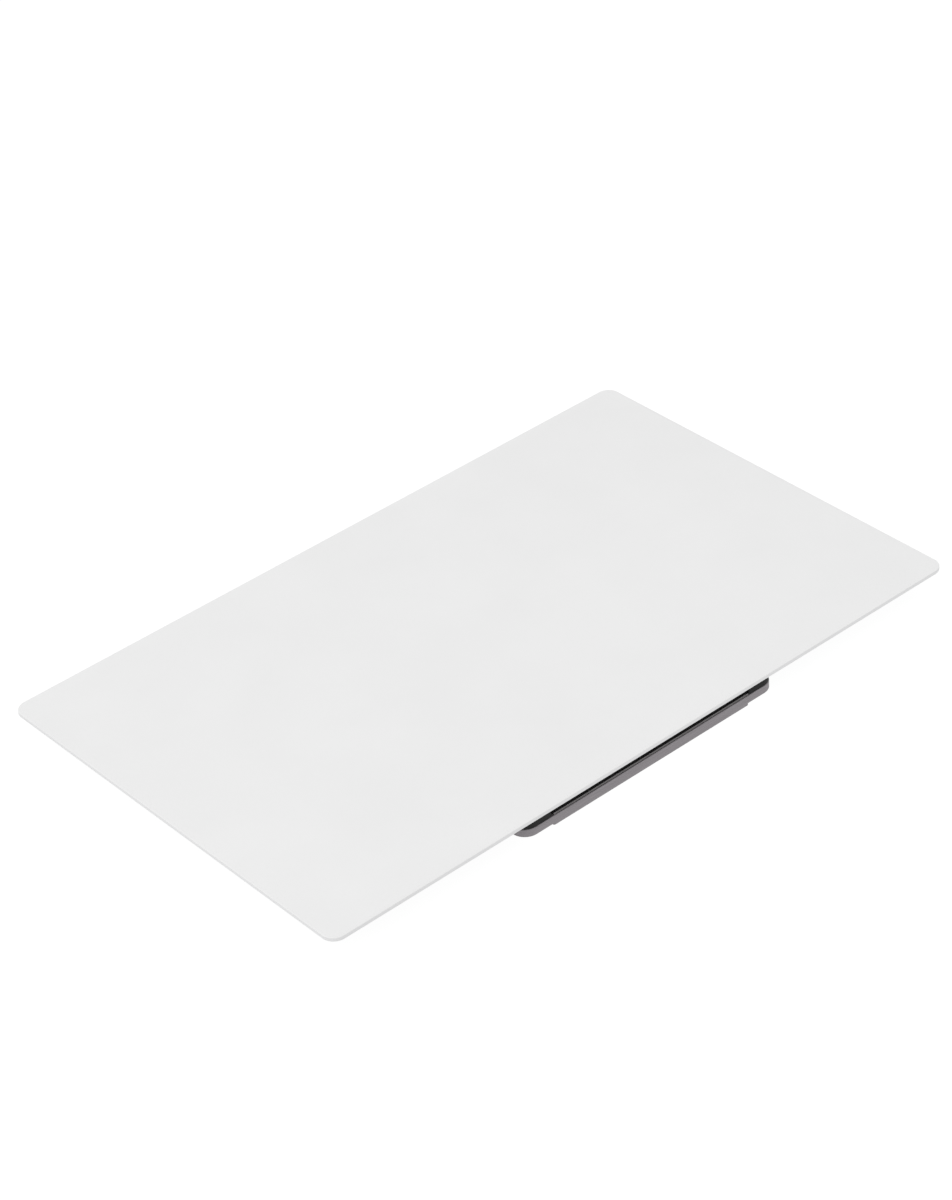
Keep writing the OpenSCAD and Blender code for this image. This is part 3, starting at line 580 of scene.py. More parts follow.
# %% [markdown]
# Three finishes are made of parallel lines: the laminations of the core, the copper tracks in the flexible
# tails and the foil grid of the strain gauges. A wave texture could draw them, but its scale isn't in real
# units. Here one coordinate is divided by the pitch and folded, which puts each line where it belongs.

# %% Finish: lines of tracks, foil and laminations
def folded_lines(tree, axis, pitch):
    """A value that runs from 0 to 1 and back once in every pitch along one axis."""
    source = tree.nodes.new("ShaderNodeTexCoord")
    parts = tree.nodes.new("ShaderNodeSeparateXYZ")
    tree.links.new(source.outputs["Object"], parts.inputs["Vector"])
    return combine(tree, "PINGPONG", combine(tree, "DIVIDE", parts.outputs[axis], pitch / 2), 1.0)


def lined(name, axis, pitch, valley, ridge, depth, roughness, metallic, sharp):
    """Lines across one axis: a small sharp gives soft ridges, and a large one gives flat tracks."""
    material, tree, shader = start_finish(name, ridge, roughness, metallic)
    fold = folded_lines(tree, axis, pitch)
    lines = spread(tree, fold, 0.0, 1.0, first=sharp / 2, last=1 - sharp / 2)
    patina = noise(tree, cube_cell(2 * pitch), detail=3.0)
    mixed = combine(tree, "MULTIPLY", lines, spread(tree, patina, 0.8, 1.0))
    tones = shades(tree, mixed, [valley, ridge], first=0.0, last=1.0)
    paint(tree, shader, tones, spread(tree, patina, roughness - 0.06, roughness + 0.06))
    relief(tree, shader, lines, depth)
    return material


AMBER = (0.38, 0.15, 0.022)
TRACK = (0.52, 0.24, 0.07)
FOIL = (0.5, 0.42, 0.3)
DARK_STEEL = (0.05, 0.048, 0.045)
CUT_STEEL = (0.15, 0.145, 0.14)
LINES = {
    "core_steel": ("Z", 0.1 * MM, DARK_STEEL, CUT_STEEL, 0.005 * MM, 0.5, 0.8, 0.5),
    "flex_film": ("Y", 0.5 * MM, AMBER, TRACK, 0.012 * MM, 0.3, 0.0, 0.9),
    "gauge_film": ("X", 0.3 * MM, AMBER, FOIL, 0.008 * MM, 0.32, 0.0, 0.8),
}
for name, (axis, pitch, valley, ridge, depth, roughness, metallic, sharp) in LINES.items():
    FINISHES[name] = lined(name, axis, pitch, valley, ridge, depth, roughness, metallic, sharp)
strip_film = lined("flex_film_crosswise", "X", *LINES["flex_film"][1:])
print("finishes:", len(FINISHES))

# %% [markdown]
# The gel pads are soft silicone. It lets some light through, so part of the shader is clear, with faint
# clouds inside and a wet gloss.

# %% Finish: silicone gel
def silicone():
    grey_blue = (0.2, 0.26, 0.29)
    material, tree, shader = start_finish("silicone", grey_blue, roughness=0.18)
    shader.inputs["Transmission Weight"].default_value = 0.3
    shader.inputs["IOR"].default_value = 1.41
    clouds = noise(tree, cube_cell(1.5 * MM), detail=3.0)
    tints = [scaled(grey_blue, 0.8), scaled(grey_blue, 1.2)]
    paint(tree, shader, shades(tree, clouds, tints), spread(tree, clouds, 0.12, 0.26))
    relief(tree, shader, clouds, depth=0.01 * MM)
    return material


FINISHES["gel"] = silicone()
print("finishes:", len(FINISHES))

# %% [markdown]
# Every solid of the frame has a slot in the record, so one loop gives each its finish. The solids
# themselves are never moved or changed.

# %% Dress the solids of the frame
slot_of = {row["node"]: row["material_slot"] for row in frame["record"]["subparts"]}
for name, solid in nodes.items():
    solid.data.materials.clear()
    solid.data.materials.append(FINISHES[slot_of[name]])
print("dressed solids:", len(slot_of))

# %% [markdown]
# The pieces that the frame can't show well are modelled here, as by hand. A hand would pick edges and faces
# with the mouse. Here small tests pick them by place instead, such as all that lie on one plane, or all
# that stand upright, so the steps still hold when a size changes.

# %% Helpers for selecting
TINY = 0.002 * MM
SHARP_ANGLE = 1.0
UPWARD = 0.9


def select_only(*pieces):
    """Leaves nothing selected but these pieces, with the first one active."""
    bpy.ops.object.select_all(action="DESELECT")
    for piece in pieces:
        piece.select_set(True)
    bpy.context.view_layer.objects.active = pieces[0]


@contextmanager
def editing(piece):
    """Edit mode on one piece, for the lines of a with block."""
    select_only(piece)
    bpy.ops.object.mode_set(mode="EDIT")
    yield
    bpy.ops.object.mode_set(mode="OBJECT")


def pick(kind, test):
    """In edit mode, selects just the vertices, edges or faces that pass the test."""
    bpy.ops.mesh.select_mode(type=kind)
    bpy.ops.mesh.select_all(action="DESELECT")
    mesh = bpy.context.object.data
    shape = bmesh.from_edit_mesh(mesh)
    elements = {"VERT": shape.verts, "EDGE": shape.edges, "FACE": shape.faces}[kind]
    for element in [element for element in elements if test(element)]:
        element.select_set(True)
    shape.select_flush_mode()
    bmesh.update_edit_mesh(mesh)


def corners(element):
    """The places of a vertex, or of the vertices of an edge or a face."""
    if isinstance(element, bmesh.types.BMVert):
        return [element.co]
    return [vertex.co for vertex in element.verts]


def on_plane(axis, *places):
    """A test for what lies wholly on a plane across an axis, at one of the places."""
    def lies_at(element, place):
        return all(abs(corner[axis] - place) < TINY for corner in corners(element))

    return lambda element: any(lies_at(element, place) for place in places)


def between(axis, low, high):
    """A test for what lies wholly between two places along an axis."""
    return lambda element: all(low - TINY < corner[axis] < high + TINY for corner in corners(element))


def both(first, second):
    """A test for what passes two tests."""
    return lambda element: first(element) and second(element)


def upright(edge):
    first, second = corners(edge)
    return (first - second).xy.length < TINY


def front_to_rear(edge):
    first, second = corners(edge)
    return (first - second).xz.length < TINY


print("helpers for selecting are ready")

# %% [markdown]
# Each piece starts as a box, a plane or a cylinder at its real size, and the frame says where it goes. Then
# it is bevelled, extruded, cut or drilled, by the same operators as by hand.

# %% Helpers for shaping
def bevel(test, size, steps):
    """In edit mode, rounds the edges that pass the test."""
    pick("EDGE", test)
    bpy.ops.mesh.bevel(offset=size, segments=steps, affect="EDGES")


def extrude(step):
    """In edit mode, pulls new faces out of what is selected."""
    bpy.ops.mesh.extrude_region_move(TRANSFORM_OT_translate={"value": step})


def face_outward():
    """In edit mode, turns every face of the piece outward."""
    bpy.ops.mesh.select_all(action="SELECT")
    bpy.ops.mesh.normals_make_consistent(inside=False)


def add_box(name, low, high):
    bpy.ops.object.select_all(action="DESELECT")
    bpy.ops.mesh.primitive_cube_add(size=1, location=(low + high) / 2, scale=high - low)
    return settle(name)


def add_drum(name, middle, radius, low, high, sides=48):
    """A cylinder that stands between two heights."""
    bpy.ops.object.select_all(action="DESELECT")
    place = (middle[0], middle[1], (low + high) / 2)
    bpy.ops.mesh.primitive_cylinder_add(vertices=sides, radius=radius, depth=high - low, location=place)
    return settle(name)


def add_strip(name, low, high, z):
    """A flat plane between two corners, at one height."""
    bpy.ops.object.select_all(action="DESELECT")
    place = ((low[0] + high[0]) / 2, (low[1] + high[1]) / 2, z)
    bpy.ops.mesh.primitive_plane_add(size=1, location=place)
    bpy.context.object.scale = (high[0] - low[0], high[1] - low[1], 1)
    return settle(name)


def settle(name):
    """Names the new piece and puts its place and size into its mesh."""
    piece = bpy.context.object
    piece.name = name
    bpy.ops.object.transform_apply(location=True, rotation=True, scale=True)
    return piece


def shape_with(piece, kind, **settings):
    """Adds one modifier and applies it."""
    select_only(piece)
    change = piece.modifiers.new(kind.lower(), kind)
    for name, value in settings.items():
        setattr(change, name, value)
    bpy.ops.object.modifier_apply(modifier=change.name)


def cut_away(piece, tool):
    """Cuts the shape of a tool out of a piece, and throws the tool away."""
    shape_with(piece, "BOOLEAN", operation="DIFFERENCE", object=tool, solver="EXACT")
    bpy.data.objects.remove(tool)


def drill(piece, middle, radius, depth=None):
    """Cuts a round hole up through a piece, or only to a depth."""
    low, high = box_of(piece)
    end = high.z + MM if depth is None else low.z + depth
    bit = add_drum("drill", middle, radius, low.z - MM, end, sides=32)
    cut_away(piece, bit)


def box_of(piece):
    places = [vertex.co for vertex in piece.data.vertices]
    return [Vector([limit(place[axis] for place in places) for axis in range(3)]) for limit in (min, max)]


def cut_across(axis, places):
    """In edit mode, adds an edge across the whole piece at each place along one axis."""
    for place in places:
        point = [0, 0, 0]
        point[axis] = place
        normal = [0, 0, 0]
        normal[axis] = 1
        bpy.ops.mesh.select_all(action="SELECT")
        bpy.ops.mesh.bisect(plane_co=point, plane_no=normal, threshold=TINY / 10)


print("helpers for shaping are ready")

# %% [markdown]
# A twin is a copy with a mesh of its own, because a mirrored piece has to have its faces turned outward
# again. A piece that is complete gets its finish and smooth curves, and the solids that it stands for are
# hidden.

# %% Helpers for copies and finishes
def twin(piece, name, flip=(1, 1, 1), about=(0, 0, 0)):
    """A copy with its own mesh, mirrored about a point along the axes where flip is -1."""
    select_only(piece)
    bpy.ops.object.duplicate()
    copy = bpy.context.object
    copy.name = name
    with editing(copy):
        bpy.ops.mesh.select_all(action="SELECT")
        bpy.ops.transform.resize(value=flip, center_override=about)
        bpy.ops.mesh.remove_doubles(threshold=TINY / 10)
        bpy.ops.mesh.normals_make_consistent(inside=False)
    return copy


def join(*pieces):
    """Joins pieces into the first of them."""
    select_only(*pieces)
    bpy.ops.object.join()
    return pieces[0]


def dress(piece, slot, stands_for=(), smooth=35):
    """Gives a piece its finish and smooth curves, and hides the solids that it stands for."""
    select_only(piece)
    bpy.ops.object.shade_smooth_by_angle(angle=math.radians(smooth))
    if not piece.data.materials:
        piece.data.materials.append(FINISHES[slot])
    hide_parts(*stands_for)
    low, high = box_of(piece)
    print(piece.name, len(piece.data.polygons), "faces, mm:", [round(side / MM, 2) for side in high - low])


print("helpers for copies are ready")

# %% [markdown]
# The touch plate is a sheet of glass with round corners and an edge that is ground all round. A bevel
# modifier could round everything at once, but the corners and the ground edge have different radii. So the
# four upright edges are bevelled first, and then the two rims.

# %% Model the glass plate
PLATE_CORNER = 2.4 * MM
GROUND_EDGE = 0.16 * MM

glass = add_box("touch_glass", plate_low, plate_high)
with editing(glass):
    bevel(upright, PLATE_CORNER, 16)
    bevel(on_plane(2, plate_low.z, plate_high.z), GROUND_EDGE, 4)
dress(glass, "plate_glass", ["glass_plate"])
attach(glass, "plate")

# %% [markdown]
# Two rubber bumpers stand on the tabs of the bracket and stop the plate when it is pushed hard. Rubber is
# moulded, so its edges are never sharp. One box gets the round outer corner of the tab, a soft rim and the
# hole over the thread, and its mirrored twin is the other one.

# %% Model the bumpers
TAB_CORNER = 2.58 * MM
BUMPER_EDGE = 0.35 * MM
BUMPER_RIM = 0.22 * MM
BUMPER_HOLE = 1.1 * MM
TAB_HOLE = Vector((24.625 * MM, -36.75 * MM))


def at_tab_corner(place):
    """True to the right of the hole and in front of it, where the tab is rounded most."""
    return place.x > TAB_HOLE.x and place.y < TAB_HOLE.y


bumper_low, bumper_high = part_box("bumper_right")
bumper = add_box("rubber_bumper_right", bumper_low, bumper_high)
with editing(bumper):
    bevel(lambda edge: upright(edge) and at_tab_corner(corners(edge)[0]), TAB_CORNER, 10)
    bevel(lambda edge: upright(edge) and edge.calc_face_angle() > SHARP_ANGLE, BUMPER_EDGE, 4)
    bevel(on_plane(2, bumper_high.z), BUMPER_RIM, 4)
drill(bumper, TAB_HOLE, BUMPER_HOLE)
left_bumper = twin(bumper, "rubber_bumper_left", (-1, 1, 1))
# Their near-black finish is partly painted shade for the gap between the tabs and the plate.
for piece, side in ((bumper, "right"), (left_bumper, "left")):
    dress(piece, "bumper_rubber", ["bumper_" + side])
    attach(piece, "frame")

# %% [markdown]
# Each spring leaf is stamped from thin steel: a root that is riveted to the rail, an arm that narrows, and
# a wide tip under the gel. It could be cut from a sheet by a Boolean, but extruding edges follows the
# stamped outline more cleanly. The flat outline gets its thickness, its corners are rounded, and cuts are
# made across the arm, where it would bend when the plate sinks. One leaf serves all four corners.

# %% Model one spring leaf
ROOT_LENGTH = 8 * MM
ARM_WIDTH = 8 * MM
NECK_WIDTH = 5.5 * MM
TIP_LENGTH = 9.6 * MM
TIP_WIDTH = 10 * MM
LEAF_CORNER = 1 * MM
LEAF_FILLET = 0.4 * MM
LEAF_EDGE = 0.04 * MM
RIVET_HOLE = 0.62 * MM
RIVET_STEP = 3.7 * MM
ARM_CUTS = 12

leaf_low, leaf_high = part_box("leaf_rear_right")
leaf_x = (leaf_low.x + leaf_high.x) / 2
root_end = leaf_low.y + ROOT_LENGTH
tip_start = leaf_high.y - TIP_LENGTH
ear_width = (leaf_high.x - leaf_low.x - ARM_WIDTH) / 2


def widen(half_width, start, end, step):
    """Pulls out the two long edges of a strip, between two places along Y."""
    for side in (-1, 1):
        edge_x = leaf_x + side * half_width
        pick("EDGE", both(on_plane(0, edge_x), between(1, start, end)))
        extrude((side * step, 0, 0))


half_arm = ARM_WIDTH / 2
leaf = add_strip("leaf", (leaf_x - half_arm, leaf_low.y), (leaf_x + half_arm, root_end), leaf_low.z)
with editing(leaf):
    pick("EDGE", on_plane(1, root_end))
    extrude((0, tip_start - root_end, 0))
    narrow = (NECK_WIDTH / ARM_WIDTH, 1, 1)
    bpy.ops.transform.resize(value=narrow, center_override=(leaf_x, tip_start, leaf_low.z))
    extrude((0, TIP_LENGTH, 0))
    widen(half_arm, leaf_low.y, root_end, ear_width)
    widen(NECK_WIDTH / 2, tip_start, leaf_high.y, (TIP_WIDTH - NECK_WIDTH) / 2)
    face_outward()
print("outline of a leaf:", len(leaf.data.polygons), "faces")

# %% Thicken, round and cut the leaf
shape_with(leaf, "SOLIDIFY", thickness=leaf_high.z - leaf_low.z, offset=1)
with editing(leaf):
    bpy.ops.mesh.select_all(action="SELECT")
    bpy.ops.mesh.dissolve_limited(angle_limit=math.radians(1))
    bevel(lambda edge: upright(edge) and edge.is_convex, LEAF_CORNER, 6)
    inner = lambda edge: upright(edge) and not edge.is_convex and edge.calc_face_angle() > SHARP_ANGLE
    bevel(inner, LEAF_FILLET, 4)
    bevel(lambda edge: not upright(edge), LEAF_EDGE, 2)
for side in (-1, 1):
    drill(leaf, (leaf_x + side * RIVET_STEP, leaf_low.y + ROOT_LENGTH / 2), RIVET_HOLE)
with editing(leaf):
    arm_step = (tip_start - root_end) / ARM_CUTS
    cut_across(1, [root_end + (index + 0.5) * arm_step for index in range(ARM_CUTS)])
print("finished leaf:", len(leaf.data.polygons), "faces")

# %% Put a leaf at each corner
rail_y = (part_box("rail_right")[0].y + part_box("rail_right")[1].y) / 2
CORNERS = {"rear_right": (1, 1), "rear_left": (-1, 1), "front_right": (1, -1), "front_left": (-1, -1)}


def to_corners(piece, name, slot, stands_for, bodies, start, end):
    """Mirrors a piece to all four corners. The bodies, start and end that it takes are not used."""
    for corner, (side, end_way) in CORNERS.items():
        copy = twin(piece, name + "_" + corner, (side, end_way, 1), (0, rail_y, 0))
        dress(copy, slot, [stands_for + "_" + corner])
        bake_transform(copy)
    bpy.data.objects.remove(piece)


leaf_bend = ((leaf_x, root_end, leaf_low.z), (leaf_x, tip_start, leaf_low.z))
to_corners(leaf, "spring_leaf", "leaf_steel", "leaf", ("frame", "gel"), *leaf_bend)

# %% [markdown]
# A strain gauge is bonded to each arm, close to its root, where it bends most. It is a slip of film with a
# fine grid of foil. The grid is made by cutting the top of the film into strips and raising every second
# one, so that it is real relief and not only a pattern.

# %% Model the strain gauges
GAUGE_CORNER = 0.4 * MM
GRID_LINES = 7
GRID_MARGIN = 0.5 * MM
FOIL_HEIGHT = 0.015 * MM

gauge_low, gauge_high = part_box("strain_gauge_rear_right")
film_high = gauge_high - Vector((0, 0, FOIL_HEIGHT))
gauge = add_box("gauge", gauge_low, film_high)
grid_low = gauge_low.x + GRID_MARGIN
grid_step = (gauge_high.x - gauge_low.x - 2 * GRID_MARGIN) / (2 * GRID_LINES - 1)
grid_edges = [grid_low + index * grid_step for index in range(2 * GRID_LINES)]
with editing(gauge):
    bevel(upright, GAUGE_CORNER, 4)
    cut_across(0, grid_edges)
    cut_across(1, [gauge_low.y + GRID_MARGIN, gauge_high.y - GRID_MARGIN])


def is_foil(face):
    """True for the top faces of every second strip, inside the margin."""
    middle = face.calc_center_median()
    strip = math.floor((middle.x - grid_low) / grid_step)
    inside = gauge_low.y + GRID_MARGIN < middle.y < gauge_high.y - GRID_MARGIN
    return face.normal.z > UPWARD and inside and strip in range(0, 2 * GRID_LINES, 2)


with editing(gauge):
    pick("FACE", is_foil)
    extrude((0, 0, FOIL_HEIGHT))
to_corners(gauge, "foil_gauge", "gauge_film", "strain_gauge", ("frame", "gel"), *leaf_bend)

# %% [markdown]
# A gel pad sits between each leaf's tip and the board. It is soft, so its bonded faces stay square while
# its sides draw in. A box with round corners is cut at several heights, and each ring is drawn in as far as
# a smooth curve says. On the real module the pad shears when the magnet shakes the plate, as its foot is
# bonded to the leaf and its head to the board.

# %% Model the gel pads
GEL_CORNER = 1 * MM
GEL_WAIST = 0.05
GEL_RINGS = 7

gel_low, gel_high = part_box("gel_pad_rear_right")
gel_middle = (gel_low + gel_high) / 2
gel_height = gel_high.z - gel_low.z
gel = add_box("gel", gel_low, gel_high)
with editing(gel):
    bevel(upright, GEL_CORNER, 8)
    ring_heights = [gel_low.z + gel_height * (ring + 1) / (GEL_RINGS + 1) for ring in range(GEL_RINGS)]
    cut_across(2, ring_heights)
    for height in ring_heights:
        drawn = 1 - GEL_WAIST * math.sin(math.pi * (height - gel_low.z) / gel_height)
        pick("VERT", on_plane(2, height))
        bpy.ops.transform.resize(value=(drawn, drawn, 1), center_override=gel_middle)
to_corners(
    gel, "gel_cushion", "gel", "gel_pad", ("gel", "plate"),
    (gel_middle.x, gel_middle.y, gel_low.z), (gel_middle.x, gel_middle.y, gel_high.z),
)

# %% [markdown]
# Three thin printed tails carry the signals from the gauges and the current for the coils up to the board.
# Each is a strip with a tail at its middle, which rises in a soft S. A curve with a flat section could make
# it, but pulling one edge along, step by step, keeps it a single clean sheet. Then it gets the thickness of
# the film.

# %% Model the flexible tails
FILM = 0.1 * MM
TAIL_WIDTH = 3.2 * MM
S_STEPS = 14
STRIP_WIDTH = 2.6 * MM
STRIP_DEPTH = 1.2 * MM
TAIL_BOND = 5 * MM
GAUGE_RUN = 5 * MM
COIL_RUN = 8 * MM


def pull_tail(way, start, run, rise):
    """Pulls the selected edge flat as far as start, up an S as long as run, and flat along the bond."""
    steps = [(start, 0.0)]
    for index in range(S_STEPS):
        share = (1 - math.cos(math.pi * (index + 1) / S_STEPS)) / 2
        last = (1 - math.cos(math.pi * index / S_STEPS)) / 2
        steps.append((run / S_STEPS, rise * (share - last)))
    steps.append((TAIL_BOND, 0.0))
    for along, up in steps:
        extrude(Vector(way) * along + Vector((0, 0, up)))


def finish_tail(piece, is_strip, strip_tracks, tail_tracks):
    """Thickens the film and gives the strip and the tail tracks that run along them."""
    with editing(piece):
        face_outward()
        shape = bmesh.from_edit_mesh(piece.data)
        if sum(face.normal.z for face in shape.faces) < 0:
            bpy.ops.mesh.flip_normals()
    shape_with(piece, "SOLIDIFY", thickness=FILM, offset=1, use_even_offset=True)
    piece.data.materials.append(strip_tracks)
    piece.data.materials.append(tail_tracks)
    for face in piece.data.polygons:
        face.material_index = 0 if is_strip(face.center) else 1


print("film thickness in mm:", FILM / MM)

# %% Shape the tails of the strain gauges
flex_low, flex_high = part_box("gauge_flex_right")
half_tail = TAIL_WIDTH / 2
edge_x = leaf_x - STRIP_WIDTH / 2
tail_start = edge_x - flex_low.x - GAUGE_RUN - TAIL_BOND
flex_rise = flex_high.z - flex_low.z - FILM
flex = add_strip("flex", (edge_x, flex_low.y), (edge_x + STRIP_WIDTH, flex_high.y), flex_low.z)
with editing(flex):
    tail_sides = (rail_y - half_tail, rail_y + half_tail)
    cut_across(1, tail_sides)
    pick("EDGE", both(on_plane(0, edge_x), between(1, *tail_sides)))
    pull_tail((-1, 0, 0), tail_start, GAUGE_RUN, flex_rise)
finish_tail(flex, lambda place: place.x > edge_x, strip_film, FINISHES["flex_film"])
left_flex = twin(flex, "gauge_tail_left", (-1, 1, 1))
flex.name = "gauge_tail_right"
for piece, side, way in ((flex, "right", 1), (left_flex, "left", -1)):
    dress(piece, "flex_film", ["gauge_flex_" + side])
    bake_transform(piece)

# %% Shape the tail of the coils
feed_low, feed_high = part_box("coil_flex")
strip_end = feed_low.y + STRIP_DEPTH
coil_rise = feed_high.z - feed_low.z - FILM
coil_start = feed_high.y - strip_end - COIL_RUN - TAIL_BOND
coil_tail = add_strip("coil_tail", (feed_low.x, feed_low.y), (feed_high.x, strip_end), feed_low.z)
with editing(coil_tail):
    cut_across(0, [-half_tail, half_tail])
    pick("EDGE", both(on_plane(1, strip_end), between(0, -half_tail, half_tail)))
    pull_tail((0, 1, 0), coil_start, COIL_RUN, coil_rise)
finish_tail(coil_tail, lambda place: place.y < strip_end, FINISHES["flex_film"], strip_film)
dress(coil_tail, "flex_film", ["coil_flex"])
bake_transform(coil_tail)

# %% [markdown]
# Screws, nuts and rivets come in groups, and the frame holds each group as one node. The box of each
# separate solid in the node tells where every one of them sits, so one is modelled at the first place and
# copied to the others. The copies are joined again, because the group stays one piece.

# %% Find the places in a group
def solids_in(node):
    """The lowest and highest corner of each separate solid in a node, from left to right."""
    shape = bmesh.new()
    shape.from_mesh(nodes[node].data)
    bmesh.ops.remove_doubles(shape, verts=shape.verts, dist=TINY / 10)
    waiting = set(shape.verts)
    boxes = []
    while waiting:
        reached = [waiting.pop()]
        for vertex in reached:
            fresh = [edge.other_vert(vertex) for edge in vertex.link_edges]
            fresh = [other for other in fresh if other in waiting]
            waiting.difference_update(fresh)
            reached.extend(fresh)
        places = [vertex.co for vertex in reached]
        sides = [[limit(place[axis] for place in places) for axis in range(3)] for limit in (min, max)]
        boxes.append([Vector(side) for side in sides])
    shape.free()
    return sorted(boxes, key=lambda box: (round(box[0].x, 5), round(box[0].y, 5)))


def copy_along(piece, name, steps):
    """Copies a piece by each step from where it stands, and joins the copies into one piece."""
    copies = [piece]
    for step in steps:
        select_only(piece)
        bpy.ops.object.duplicate()
        bpy.ops.transform.translate(value=step)
        bpy.ops.object.transform_apply(location=True)
        copies.append(bpy.context.object)
    joined = join(*copies)
    joined.name = name
    return joined


def spread_over(piece, name, boxes):
    """Copies a piece from the first box to all the others."""
    return copy_along(piece, name, [box[0] - boxes[0][0] for box in boxes[1:]])


def ring_inside(middle, z, radius):
    """A test for what lies at one height, no further than a radius from the middle."""
    def near(element):
        return all((corner.xy - middle.xy).length < radius + TINY for corner in corners(element))

    return both(on_plane(2, z), near)


places = {node: solids_in(node) for node in ("frame_screws", "mount_nuts", "leaf_rivets")}
print("in each group:", {node: len(boxes) for node, boxes in places.items()})

# %% [markdown]
# The frame screws have low heads, which face down, with a six-lobe socket for the driver. The socket could
# be cut by a Boolean, but here the middle of the head is inset, every second stretch of its rim is drawn in
# to make the lobes, and the shape is pushed into the head. The shank passes through the sheets above.

# %% Model the frame screws
HEAD_HEIGHT = 0.36 * MM
HEAD_EDGE = 0.09 * MM
SHANK_RADIUS = 0.7 * MM
SHANK_EDGE = 0.12 * MM
DRIVE_RADIUS = 0.72 * MM
DRIVE_DEPTH = 0.24 * MM
DRIVE_TAPER = 0.92
LOBES = 6
LOBE_SHARES = {0: 0.87, -1: 0.78}
LOBE_BAND = 0.5

screw_low, screw_high = places["frame_screws"][0]
middle = (screw_low + screw_high) / 2
head_radius = (screw_high.x - screw_low.x) / 2
head_top = screw_low.z + HEAD_HEIGHT
screw = add_drum("screw", middle, head_radius, screw_low.z, head_top)
with editing(screw):
    bevel(on_plane(2, screw_low.z), HEAD_EDGE, 3)
    pick("FACE", on_plane(2, head_top))
    bpy.ops.mesh.inset(thickness=head_radius - SHANK_RADIUS)
    extrude((0, 0, screw_high.z - head_top))
    bevel(on_plane(2, screw_high.z), SHANK_EDGE, 2)
    pick("FACE", on_plane(2, screw_low.z))
    bpy.ops.mesh.inset(thickness=head_radius - HEAD_EDGE - DRIVE_RADIUS)


def wave(vertex):
    """Runs from 1 on the ridge of a lobe to -1 in the valley between two."""
    arm = vertex.co - middle
    return math.cos(LOBES * math.atan2(arm.y, arm.x))


with editing(screw):
    socket_rim = ring_inside(middle, screw_low.z, DRIVE_RADIUS)
    head_middle = (middle.x, middle.y, screw_low.z)
    for level, share in LOBE_SHARES.items():
        pick("VERT", lambda vertex: socket_rim(vertex) and abs(wave(vertex) - level) < LOBE_BAND)
        bpy.ops.transform.resize(value=(share, share, 1), center_override=head_middle)
    pick("FACE", socket_rim)
    extrude((0, 0, DRIVE_DEPTH))
    bpy.ops.transform.resize(value=(DRIVE_TAPER, DRIVE_TAPER, 1), center_override=head_middle)
screws = spread_over(screw, "frame_screw_set", places["frame_screws"])
dress(screws, "screw_steel", ["frame_screws"])
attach(screws, "frame")

# %% [markdown]
# Six brass nuts take the screws that hold the module in a computer. Each is turned from bar, with a broad
# collar, a neck that is pressed into the rail, and a thread. The thread is a small triangle that a Screw
# modifier winds up the bore, so it is a true helix and not a stack of rings.

# %% Model the nuts' bodies
COLLAR_HEIGHT = 1.25 * MM
COLLAR_EDGE = 0.16 * MM
NECK_RADIUS = 1.6 * MM
NECK_EDGE = 0.1 * MM
BORE_RADIUS = 1 * MM
BORE_MOUTH = 0.14 * MM

nut_low, nut_high = places["mount_nuts"][0]
middle = (nut_low + nut_high) / 2
collar_radius = (nut_high.x - nut_low.x) / 2
collar_top = nut_low.z + COLLAR_HEIGHT
nut = add_drum("nut", middle, collar_radius, nut_low.z, collar_top)
with editing(nut):
    bevel(on_plane(2, nut_low.z, collar_top), COLLAR_EDGE, 2)
    pick("FACE", on_plane(2, collar_top))
    bpy.ops.mesh.inset(thickness=collar_radius - COLLAR_EDGE - NECK_RADIUS)
    extrude((0, 0, nut_high.z - collar_top))
    bevel(on_plane(2, nut_high.z), NECK_EDGE, 2)
    for height, radius in ((nut_high.z, NECK_RADIUS - NECK_EDGE), (nut_low.z, collar_radius - COLLAR_EDGE)):
        pick("FACE", on_plane(2, height))
        bpy.ops.mesh.inset(thickness=radius - BORE_RADIUS)
    pick("FACE", lambda face: len(face.verts) > 4)
    bpy.ops.mesh.delete(type="ONLY_FACE")
    pick("EDGE", lambda edge: edge.is_boundary)
    bpy.ops.mesh.bridge_edge_loops()
    bevel(ring_inside(middle, nut_low.z, BORE_RADIUS), BORE_MOUTH, 2)
print("body of a nut:", len(nut.data.polygons), "faces")

# %% Wind the thread
THREAD_PITCH = 0.4 * MM
THREAD_DEPTH = 0.2 * MM
THREAD_ROOT = 0.03 * MM
THREAD_FOOT = 0.36 * MM
THREAD_TURNS = 4
TURN_STEPS = 32
TRIANGLE_WIDTH = 1.5
TRIANGLE_HEIGHT = math.sqrt(3)


def wind(section, axis, rise, turns, steps, sides):
    """Winds a closed outline into a helix, and closes its two ends."""
    helix = {"angle": 2 * math.pi, "screw_offset": rise, "iterations": turns}
    shape_with(section, "SCREW", axis=axis, steps=steps, render_steps=steps, **helix)
    with editing(section):
        bpy.ops.mesh.select_all(action="SELECT")
        bpy.ops.mesh.remove_doubles(threshold=TINY / 10)
        bpy.ops.mesh.fill_holes(sides=sides)
        face_outward()


